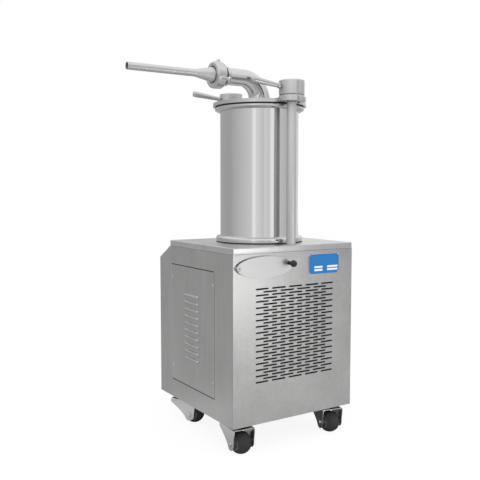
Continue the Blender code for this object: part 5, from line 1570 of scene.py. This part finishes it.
@dataclass
class Nozzle(Assembly):
    """Stuffing nozzle with its gasket and the lugged coupling nut."""

    height: float = 1.3523
    flange_start: float = 0.1896
    flange_end: float = 0.1966
    flange_radius: float = 0.0340
    cone_start: float = 0.2086
    cone_end: float = 0.281
    reach: float = 0.5423
    tube_radius: float = 0.0133
    mouth_radius: float = 0.0280
    wall: float = 0.0016
    tip_edges: Point2 = (0.0005, 0.0006)
    mouth_fillet: float = 0.001
    flange_edge: float = 0.0006
    tube_soft: float = 0.06
    mouth_soft: float = 0.02
    nut_start: float = 0.1713
    nut_end: float = 0.2093
    nut_radius: float = 0.0485
    nut_bore: float = 0.0347
    nut_mouth: float = 0.0317
    nut_seat: float = 0.1969
    nut_rear_bevel: Point2 = (0.0015, 0.003)
    nut_front_bevel: Point2 = (0.005, 0.0045)
    nut_rounds: tuple[float, ...] = (0.0005, 0.0012, 0.004, 0.004, 0.003, 0.002, 0.0004, 0.0004)
    lug_count: int = 3
    lug_turn: float = math.radians(10)
    lug_root: float = 0.004
    lug_profile: Corners = (
        (-0.004, 0.0004),
        (0.013, 0.0004, 0.0015),
        (0.013, 0.0068, 0.003),
        (0.0, 0.024, 0.004),
        (-0.004, 0.024),
    )
    lug_rows: Corners = (
        (-0.0060, 0.0022),
        (-0.0044, 0.0006),
        (-0.0030, 0.0),
        (0.0030, 0.0),
        (0.0044, 0.0006),
        (0.0060, 0.0022),
    )

    def build(self) -> None:
        """Build the nozzle, its gasket and the nut."""
        inner = self.tube_radius - self.wall
        mouth = self.mouth_radius - self.wall
        profile = rounded(
            [
                (inner, self.reach, self.tip_edges[0]),
                (self.tube_radius, self.reach, self.tip_edges[1]),
                (self.tube_radius, self.cone_end, self.tube_soft),
                (self.mouth_radius, self.cone_start, self.mouth_soft),
                (self.mouth_radius, self.flange_end, self.mouth_fillet),
                (self.flange_radius, self.flange_end, self.flange_edge),
                (self.flange_radius, self.flange_start, self.flange_edge),
                (mouth, self.flange_start),
                (mouth, self.cone_start, self.mouth_soft),
                (inner, self.cone_end, self.tube_soft),
            ],
            6,
            True,
        )
        place = placed(machine(0, 0, self.height), Facing.LEFT)
        self.add_turned("nozzle_tube", profile, place, "nozzle", NOZZLE_STEEL, ["nozzle"])
        self.dress("nozzle_gasket", WHITE_SEAL)
        self.coupling(place)

    def coupling(self, place: Matrix) -> None:
        """Turn the coupling nut and raise its lugs.

        Args:
            place: where the outlet's axis stands.
        """
        rear_in, rear_along = self.nut_rear_bevel
        front_in, front_along = self.nut_front_bevel
        points = [
            (self.nut_bore, self.nut_start),
            (self.nut_radius - rear_in, self.nut_start),
            (self.nut_radius, self.nut_start + rear_along),
            (self.nut_radius, self.nut_end - front_along),
            (self.nut_radius - front_in, self.nut_end),
            (self.nut_mouth, self.nut_end),
            (self.nut_mouth, self.nut_seat),
            (self.nut_bore, self.nut_seat),
        ]
        profile = [(*point, soft) for point, soft in zip(points, self.nut_rounds)]
        shape = bmesh.new()
        add_lathe(shape, rounded(profile, 5, True), 128)
        for index in range(self.lug_count):
            self.add_lug(shape, self.lug_turn + FULL_TURN * index / self.lug_count)
        nut = object_from("coupling_ring", shape)
        self.add(nut, place, "coupling_nut", NUT_STEEL, ["coupling_nut"])

    def add_lug(self, shape: bmesh.types.BMesh, turn: float) -> None:
        """Add one wedge-shaped lug with rounded flanks.

        Args:
            shape: the nut's mesh.
            turn: the lug's place round the nut, from its top.
        """
        outline = rounded(
            [(self.nut_radius + up, self.nut_start + along, *soft) for up, along, *soft in self.lug_profile]
        )
        place = Matrix.Rotation(turn, 4, "Z")
        root = self.nut_radius - self.lug_root
        rows = []
        for across, shrink in self.lug_rows:
            points = [(max(radius - shrink, root), across, along) for radius, along in outline]
            rows.append([shape.verts.new(place @ Vector(point)) for point in points])
        for first, second in zip(rows, rows[1:]):
            bridge(shape, first, second)
        shape.faces.new(rows[0])
        shape.faces.new(rows[-1])


@dataclass
class Press(Assembly):
    """Meat piston, hydraulic barrel and power pack inside the cabinet."""

    disc_profile: Corners = (
        (0.0, 0.786),
        (0.1445, 0.786, 0.004),
        (0.1445, 0.7760, 0.0005),
        (0.1385, 0.7760, 0.0005),
        (0.1385, 0.7660, 0.0005),
        (0.1445, 0.7660, 0.0005),
        (0.1445, 0.756, 0.001),
        (0.0, 0.756),
    )
    seal_profile: Corners = (
        (0.1453, 0.7756, 0.002),
        (0.1453, 0.7664, 0.002),
        (0.1390, 0.7664),
        (0.1390, 0.7756),
    )
    finishes: dict[str, Metal | Coat] = field(
        default_factory=lambda: {
            "piston_rod": GROUND_CHROME,
            "hydraulic_barrel": MACHINE_PAINT,
            "rod_gland": BRASS,
            "oil_tank": TANK_PLASTIC,
            "electric_motor": MACHINE_PAINT,
            "gear_pump": CAST_IRON,
            "valve_block": CAST_IRON,
            "pressure_hose": HOSE_RUBBER,
            "lift_hose": HOSE_RUBBER,
            "lowering_hose": HOSE_RUBBER,
            "return_hose": HOSE_RUBBER,
        }
    )

    def build(self) -> None:
        """Turn the piston's disc and seal and dress the rest."""
        place = placed(machine(0, 0, 0))
        disc = rounded(self.disc_profile)
        self.add_turned("piston_plate", disc, place, "piston", TURNED_STEEL, ["piston_disc"], 160)
        seal = rounded(self.seal_profile, 4, True)
        self.add_turned("piston_lip", seal, place, "piston", WHITE_SEAL, ["piston_seal"], 160)
        for node, finish in self.finishes.items():
            self.dress(node, finish)


# Casters

CASTER_PLACES = (
    ("front_left", -0.2065, -0.1600, -95),
    ("front_right", 0.2065, -0.1600, -103),
    ("rear_left", -0.2065, 0.2110, -62),
    ("rear_right", 0.2065, 0.2110, 78),
)


@dataclass
class Caster(Assembly):
    """Swivel caster: mounting plate with bolts, pressed fork, axle bolt and wheel."""

    corner: str
    across: float
    along: float
    heading: float
    plate_top: float = 0.1077
    plate_width: float = 0.080
    plate_length: float = 0.115
    plate_sheet: float = 0.005
    plate_corner: float = 0.006
    plate_edge: float = 0.0008
    race_radii: Point2 = (0.0300, 0.0240)
    race_rim: float = 0.0035
    race_height: float = 0.0065
    race_round: float = 0.002
    bolt_inset: float = 0.011
    bolt_profile: Corners = (
        (0.0, -0.0058),
        (0.0054, -0.0058),
        (0.0065, -0.0048),
        (0.0065, 0.0),
        (0.0, 0.0),
    )
    bolt_washer: Corners = ((0.0, -0.0010), (0.0086, -0.0010), (0.0086, 0.0), (0.0, 0.0))
    fork_top: float = 0.0959
    fork_sheet: float = 0.003
    fork_edge: float = 0.0006
    fork_lead: float = 0.051
    fork_tail: float = 0.064
    fork_skirt: float = 0.0145
    fork_bend: float = 0.0045
    fork_columns: int = 14
    leg_hollow: float = 1.45
    leg_outside: float = 0.0420
    leg_turns: tuple[int, ...] = tuple(range(12, 160, 12))
    leg_clearance: float = 0.002
    leg_drops: tuple[float, ...] = (0.020, 0.014, 0.008, 0.004, 0.0005, -0.0005)
    foot_radius: float = 0.0230
    foot_rise: float = 0.0001
    trail: float = 0.035
    axle_gap: float = 0.0002
    axle_radius: float = 0.006
    axle_washer: Corners = ((0.0, 0.0013), (0.0112, 0.0013), (0.0112, 0.0), (0.0, 0.0))
    axle_head: Corners = (
        (0.0, 0.0050),
        (0.0078, 0.0050),
        (0.0092, 0.0040),
        (0.0092, 0.0),
        (0.0, 0.0),
    )
    wheel_radius: float = 0.040
    wheel_half: float = 0.026
    tyre_profile: Corners = (
        (0.0262, 0.0060),
        (0.0272, 0.0008, 0.0015),
        (0.0312, 0.0006, 0.003),
        (0.0365, 0.0090, 0.012),
        (0.0400, 0.0200, 0.020),
    )
    hub_profile: Corners = (
        (0.0065, -0.0125),
        (0.0120, -0.0125, 0.001),
        (0.0138, 0.0030, 0.002),
        (0.0175, 0.0058, 0.001),
        (0.0265, 0.0058),
    )
    hub_depth: float = 0.0058
    rings: tuple[Point2, Point2] = ((0.0245, 0.0016), (0.0192, 0.0011))
    ring_rise: float = 0.0036
    ring_crest: float = 0.6

    def build(self) -> None:
        """Build the caster."""
        self.mounting()
        turn = Matrix.Rotation(self.heading, 4, "Z")
        swivel = Matrix.Translation(machine(self.across, self.along, 0)) @ turn
        self.fork(swivel)
        centre = swivel @ Matrix.Translation((self.trail, 0, self.wheel_radius)) @ Facing.FRONT.value.to_4x4()
        self.axle(centre)
        self.wheel(centre)

    def mounting(self) -> None:
        """Make the plate with its swivel race and four bolts."""
        half_x, half_y = self.plate_width / 2, self.plate_length / 2
        corners = [(*point, self.plate_corner) for point in rectangle(-half_x, -half_y, half_x, half_y)]
        outline = rounded(corners, 5, True)
        base = plate(f"{self.corner}_plate", [outline], self.plate_sheet, self.plate_edge)
        place = placed(machine(self.across, self.along, self.plate_top - self.plate_sheet / 2))
        self.add(base, place, "root", BLACK_STEEL_AND_RECESS_SHADE, [f"{self.corner}_caster_plate"])
        under = self.plate_top - self.plate_sheet
        outside, inside = self.race_radii
        race = rounded(
            [
                (0.0, under),
                (outside, under),
                (outside, under - self.race_rim, self.race_round),
                (inside, under - self.race_height, self.race_round),
                (0.0, under - self.race_height),
            ],
            4,
        )
        place = placed(machine(self.across, self.along, 0))
        self.add_turned(f"{self.corner}_race", race, place, "root", ZINC, facets=64)
        shape = bmesh.new()
        in_x, in_y = half_x - self.bolt_inset, half_y - self.bolt_inset
        for x, y in ((-in_x, -in_y), (-in_x, in_y), (in_x, -in_y), (in_x, in_y)):
            place = Matrix.Translation((x, y, 0.0))
            add_lathe(shape, self.bolt_profile, 6, place)
            add_lathe(shape, self.bolt_washer, 24, place)
        bolts = object_from(f"{self.corner}_plate_bolts", shape)
        self.add(bolts, placed(machine(self.across, self.along, under)), "root", SCREW_STEEL)

    def flank(self, height: float, corner: Point2) -> float:
        """Find how far a leg reaches to one side at a height.

        Args:
            height: height over the floor.
            corner: the skirt's lower corner on that side.

        Returns:
            The place along the caster's heading.
        """
        if height >= corner[1]:
            return corner[0]
        centre = Vector((self.trail, self.wheel_radius))
        away = Vector(corner) - centre
        lean = math.acos(self.foot_radius / away.length)
        side = 1.0 if corner[0] > self.trail else -1.0
        direction = math.atan2(away.y, away.x) - side * lean
        touch = centre + self.foot_radius * Vector((math.cos(direction), math.sin(direction)))
        if height >= touch.y:
            share = ((height - touch.y) / (corner[1] - touch.y)) ** self.leg_hollow
            return touch.x + (corner[0] - touch.x) * share
        rise = height - centre.y
        return centre.x + side * math.sqrt(max(self.foot_radius**2 - rise**2, 0.0))

    def fork_section(self, skirt: float) -> Outline:
        """Draw the fork from behind: both legs and the bridge that joins them.

        Args:
            skirt: height of the skirt's lower edge.

        Returns:
            The points of its outer skin as (across, height).
        """
        drops = [self.foot_radius * math.cos(math.radians(turn)) for turn in self.leg_turns]
        foot = [self.wheel_radius - drop for drop in drops]
        heights = [height for height in foot if height < skirt - self.leg_clearance]
        heights.append(self.wheel_radius - self.foot_radius + self.foot_rise)
        heights += [skirt - drop for drop in self.leg_drops]
        heights.append(self.fork_top - self.fork_bend)
        side = [(self.leg_outside, height) for height in sorted(heights)]
        corner = (self.leg_outside - self.fork_bend, self.fork_top - self.fork_bend)
        side += arc(corner, self.fork_bend, 0.0, QUARTER, 5)[1:]
        return side + [(-across, height) for across, height in reversed(side)]

    def fork(self, swivel: Matrix) -> None:
        """Press the fork from one sheet: two tapering legs bent down from a bridge.

        Args:
            swivel: the swivel axis with the caster's heading.
        """
        skirt = self.fork_top - self.fork_skirt
        front, rear = (-self.fork_lead, skirt), (self.fork_tail, skirt)
        shape = bmesh.new()
        rows = []
        for across, height in self.fork_section(skirt):
            low, high = self.flank(height, front), self.flank(height, rear)
            pace = (high - low) / self.fork_columns
            places = [low + pace * column for column in range(self.fork_columns + 1)]
            rows.append([shape.verts.new((place, across, height)) for place in places])
        for first, second in zip(rows, rows[1:]):
            bridge(shape, first, second, False)
        body = object_from(f"{self.corner}_fork_pressing", shape)
        thicken(body, self.fork_sheet)
        break_edges(body, self.fork_edge)
        even_out(body)
        self.add(body, swivel, f"{self.corner}_caster", ZINC, [f"{self.corner}_fork"])

    def axle(self, centre: Matrix) -> None:
        """Set the axle bolt with its hexagon head, nut and washers.

        Args:
            centre: the wheel's centre, with +Z along its axle.
        """
        start = self.leg_outside + self.axle_gap
        shape = bmesh.new()
        for way in (0.0, math.pi):
            end = Matrix.Rotation(way, 4, "Y")
            for profile, facets in ((self.axle_washer, 40), (self.axle_head, 6)):
                add_lathe(shape, [(radius, start + along) for radius, along in profile], facets, end)
        shank = [(0.0, start), (self.axle_radius, start), (self.axle_radius, -start), (0.0, -start)]
        add_lathe(shape, shank, 32)
        bolt = object_from(f"{self.corner}_bolt", shape)
        self.add(bolt, centre, f"{self.corner}_caster", SCREW_STEEL, [f"{self.corner}_axle"])

    def wheel(self, centre: Matrix) -> None:
        """Mould the tyre and the ringed hub.

        Args:
            centre: the wheel's centre, with +Z along its axle.
        """
        body = f"{self.corner}_wheel"
        tyre = self.both_sides(self.tyre_profile, 7)
        self.add_turned(f"{self.corner}_tyre", tyre, centre, body, TYRE, [body])
        hub = self.both_sides(self.hub_profile, 3)
        self.add_turned(f"{self.corner}_hub", hub, centre, body, HUB_PLASTIC)
        web = self.wheel_half - self.hub_depth
        shape = bmesh.new()
        for side in (1.0, -1.0):
            face, crest = side * web, side * (web + self.ring_rise)
            for radius, width in self.rings:
                narrow = width * self.ring_crest
                ring = [(radius - width, face), (radius - narrow, crest), (radius + narrow, crest)]
                add_lathe(shape, ring + [(radius + width, face)], 96)
        self.add(object_from(f"{self.corner}_hub_rings", shape), centre, body, RING_PLASTIC)

    def both_sides(self, corners: Corners, spans: int) -> Outline:
        """Round a section of the wheel that is alike on both sides.

        Args:
            corners: corners on one side as (radius, distance inside the tyre's face).
            spans: number of spans in each rounding.

        Returns:
            The closed section.
        """
        side = [(radius, self.wheel_half - inward, *soft) for radius, inward, *soft in corners]
        mirrored = [(radius, -along, *soft) for radius, along, *soft in reversed(side)]
        return rounded(side + mirrored, spans, True)


# Studio


@dataclass(frozen=True)
class LightStrip:
    """An upright strip of the studio's walls that reflections show.

    middle, width and softness are degrees round the camera's line; gain is added there.
    """

    middle: float
    width: float
    softness: float
    gain: float


@dataclass(frozen=True)
class Lamp:
    """A soft lamp: its place in machine axes, width and height, and power in watts.

    mirrored says whether polished steel shows it.
    """

    name: str
    place: Triple
    size: Point2
    power: float
    mirrored: bool


@dataclass(frozen=True)
class Pool:
    """A soft pool of light on the floor: its centre in machine axes, reach and gain."""

    centre: Point2
    radius: float
    gain: float


@dataclass
class Studio:
    """Camera, white surroundings, lamps and floor."""

    focal_length: float = 50.16
    sensor: float = 36.0
    camera_offset: Triple = (-1.4569, -2.1438, 0.9314)
    pitch: float = math.radians(85.75)
    heading: float = math.radians(-32.56)
    wall_level: float = 0.50
    wall_white: Colour = (2.0, 2.0, 2.0, 1.0)
    ceiling_level: float = 1.05
    fill_level: float = 0.78
    floor_level: float = 0.43
    shade_depth_share: float = 0.93
    shade_width: float = 0.26
    shade_depth: float = 0.34
    strips: tuple[LightStrip, ...] = (
        LightStrip(10.0, 140.0, 70.0, 0.34),
        LightStrip(-17.0, 10.0, 4.0, 0.28),
        LightStrip(-8.0, 14.0, 8.0, 0.10),
        LightStrip(9.0, 5.0, 4.0, -0.06),
        LightStrip(16.0, 7.0, 5.0, 0.07),
        LightStrip(36.0, 11.0, 4.0, 0.30),
        LightStrip(50.0, 13.5, 3.0, -0.90),
        LightStrip(160.0, 66.0, 30.0, 0.36),
    )
    upper_start: float = 0.20
    upper_gain: float = 2.6
    lamps: tuple[Lamp, ...] = (
        Lamp("key_softbox", (-2.2, -2.4, 2.6), (2.4, 2.4), 32.0, False),
        Lamp("side_softbox", (2.6, -1.6, 2.2), (2.0, 2.0), 18.0, False),
        Lamp("low_softbox", (0.72, -2.15, 0.33), (0.84, 0.46), 3.3, True),
    )
    lamp_aim: Triple = (0.0, 0.0, 0.7)
    pools: tuple[Pool, ...] = (
        Pool((0.25, -1.10), 1.3, 0.40),
        Pool((-1.5, 1.4), 1.5, 0.08),
        Pool((-0.42, 0.22), 0.45, 0.35),
    )
    floor_half: float = 14.0
    floor_tone: Triple = (0.93, 0.93, 0.93)
    floor_glow: float = 1.04
    floor_glow_share: float = 0.86
    floor_mirror_share: float = 0.85
    shade_edge: float = 9.0

    def build(self) -> None:
        """Build the whole studio."""
        self.camera()
        self.world()
        for lamp in self.lamps:
            self.hang(lamp)
        self.floor()
        bpy.context.scene.view_settings.view_transform = "Standard"

    def camera(self) -> None:
        """Set the camera at the photograph's viewing angle."""
        lens = bpy.data.cameras.new("camera")
        lens.lens = self.focal_length
        lens.sensor_width = self.sensor
        obj = linked("camera", lens)
        offset = Vector(self.camera_offset)
        obj.location = Vector((MACHINE_AXIS.x + offset.x, MACHINE_AXIS.y + offset.y, offset.z))
        obj.rotation_euler = (self.pitch, 0.0, self.heading)
        bpy.context.scene.camera = obj

    def world(self) -> None:
        """Make the surroundings: white to the camera, soft walls in reflections."""
        world = bpy.data.worlds.new("studio")
        bpy.context.scene.world = world
        tree = ShaderTree(world)
        direction = tree.coordinates("Generated")
        sight = Vector((math.sin(-self.heading), math.cos(-self.heading), 0.0))
        beside = Vector((sight.y, -sight.x, 0.0))
        settings = {"operation": "ARCTAN2"}
        values = {0: tree.dot(direction, beside), 1: tree.dot(direction, -sight)}
        turn = tree.node("ShaderNodeMath", settings, values) * DEGREES
        level: Signal | float = self.wall_level
        for strip in self.strips:
            inside = ((strip.width / 2 - abs(turn - strip.middle)) / strip.softness + 0.5).clamped()
            level = inside * strip.gain + level
        rise = tree.parts(direction)[2]
        upper = ((rise - self.upper_start) * self.upper_gain).clamped()
        glossy = level * (1.0 - upper) + upper * self.ceiling_level
        path = tree.node("ShaderNodeLightPath", {}, {}, "Is Camera Ray")
        outputs = path.socket.node.outputs
        seen = (path + Signal(tree, outputs["Is Transmission Ray"])).clamped()
        mirrored = Signal(tree, outputs["Is Glossy Ray"])
        wall_tone = tree.blend(glossy * (1.0 / self.wall_white[0]), BLACK, self.wall_white)
        kind = "ShaderNodeBackground"
        backdrop = tree.node(kind, {}, {"Color": WHITE, "Strength": 1.0})
        walls = tree.node(kind, {}, {"Color": wall_tone, "Strength": 1.0})
        fill = tree.node(kind, {}, {"Color": WHITE, "Strength": self.fill_level})
        around = tree.node("ShaderNodeMixShader", {}, {0: mirrored, 1: fill, 2: walls})
        whole = tree.node("ShaderNodeMixShader", {}, {0: seen, 1: around, 2: backdrop})
        tree.close(whole, "ShaderNodeOutputWorld")

    def hang(self, lamp: Lamp) -> None:
        """Hang a soft lamp that looks at the machine.

        Args:
            lamp: the lamp.
        """
        data = bpy.data.lights.new(lamp.name, "AREA")
        data.shape = "RECTANGLE"
        data.size, data.size_y = lamp.size
        data.energy = lamp.power
        obj = linked(lamp.name, data)
        obj.location = machine(*lamp.place)
        obj.rotation_euler = (machine(*self.lamp_aim) - obj.location).to_track_quat("-Z", "Y").to_euler()
        obj.visible_glossy = lamp.mirrored

    def pooled(self, tree: ShaderTree, across: Signal, along: Signal, pool: Pool) -> Signal:
        """Light a pool on the floor.

        Args:
            tree: the floor's nodes.
            across: distance from the machine's axis to the right.
            along: distance from it to the rear.
            pool: the pool.

        Returns:
            The level that it adds.
        """
        side, front = across - pool.centre[0], along - pool.centre[1]
        distance = tree.node("ShaderNodeMath", {"operation": "SQRT"}, {0: side * side + front * front})
        return (1.0 - distance * (1.0 / pool.radius)).clamped() * pool.gain

    def floor(self) -> None:
        """Lay the pale floor, which keeps the machine's soft shadow."""
        mesh = bpy.data.meshes.new("floor")
        half = self.floor_half
        corners = [(*point, 0.0) for point in rectangle(-half, -half, half, half)]
        mesh.from_pydata(corners, [], [(0, 1, 2, 3)])
        obj = linked("floor", mesh)
        material = bpy.data.materials.new("pale_floor")
        tree = ShaderTree(material)
        x, y, _ = tree.parts(tree.coordinates())
        across, along = x - MACHINE_AXIS.x, y - MACHINE_AXIS.y
        level: Signal | float = self.floor_level
        for pool in self.pools:
            level = self.pooled(tree, across, along, pool) + level
        shade_x = ((self.shade_width - abs(across)) * self.shade_edge + 0.5).clamped()
        shade_y = ((self.shade_depth - abs(along)) * self.shade_edge + 0.5).clamped()
        level = level.clamped() * (1.0 - shade_x * shade_y * self.shade_depth_share)
        tone = tree.blend(level, BLACK, WHITE)
        cloth = tree.node("ShaderNodeBsdfDiffuse", {}, {"Color": rgba(self.floor_tone), "Roughness": 0.5})
        white = tree.node("ShaderNodeEmission", {}, {"Color": WHITE, "Strength": self.floor_glow})
        grey = tree.node("ShaderNodeEmission", {}, {"Color": tone, "Strength": 1.0})
        path = tree.node("ShaderNodeLightPath", {}, {}, "Is Camera Ray")
        mirrored = Signal(tree, path.socket.node.outputs["Is Glossy Ray"])
        bright = tree.node("ShaderNodeMixShader", {}, {0: path * self.floor_glow_share, 1: cloth, 2: white})
        values = {0: mirrored * self.floor_mirror_share, 1: bright, 2: grey}
        tree.close(tree.node("ShaderNodeMixShader", {}, values))
        obj.data.materials.append(material)


def main() -> None:
    """Build the machine's look piece by piece, then the studio."""
    logging.basicConfig(level=logging.INFO, format="%(name)s: %(message)s")
    assemblies: list[Assembly] = [
        Cabinet(),
        ServiceCover(),
        DataPlate(),
        ControlLever(),
        MeatCylinder(),
        Columns(),
        Lid(),
        Nozzle(),
        Press(),
    ]
    for corner, across, along, turn in CASTER_PLACES:
        assemblies.append(Caster(corner, across, along, math.radians(turn)))
    for assembly in assemblies:
        assembly.build()
    Studio().build()


if __name__ == "__main__":
    main()
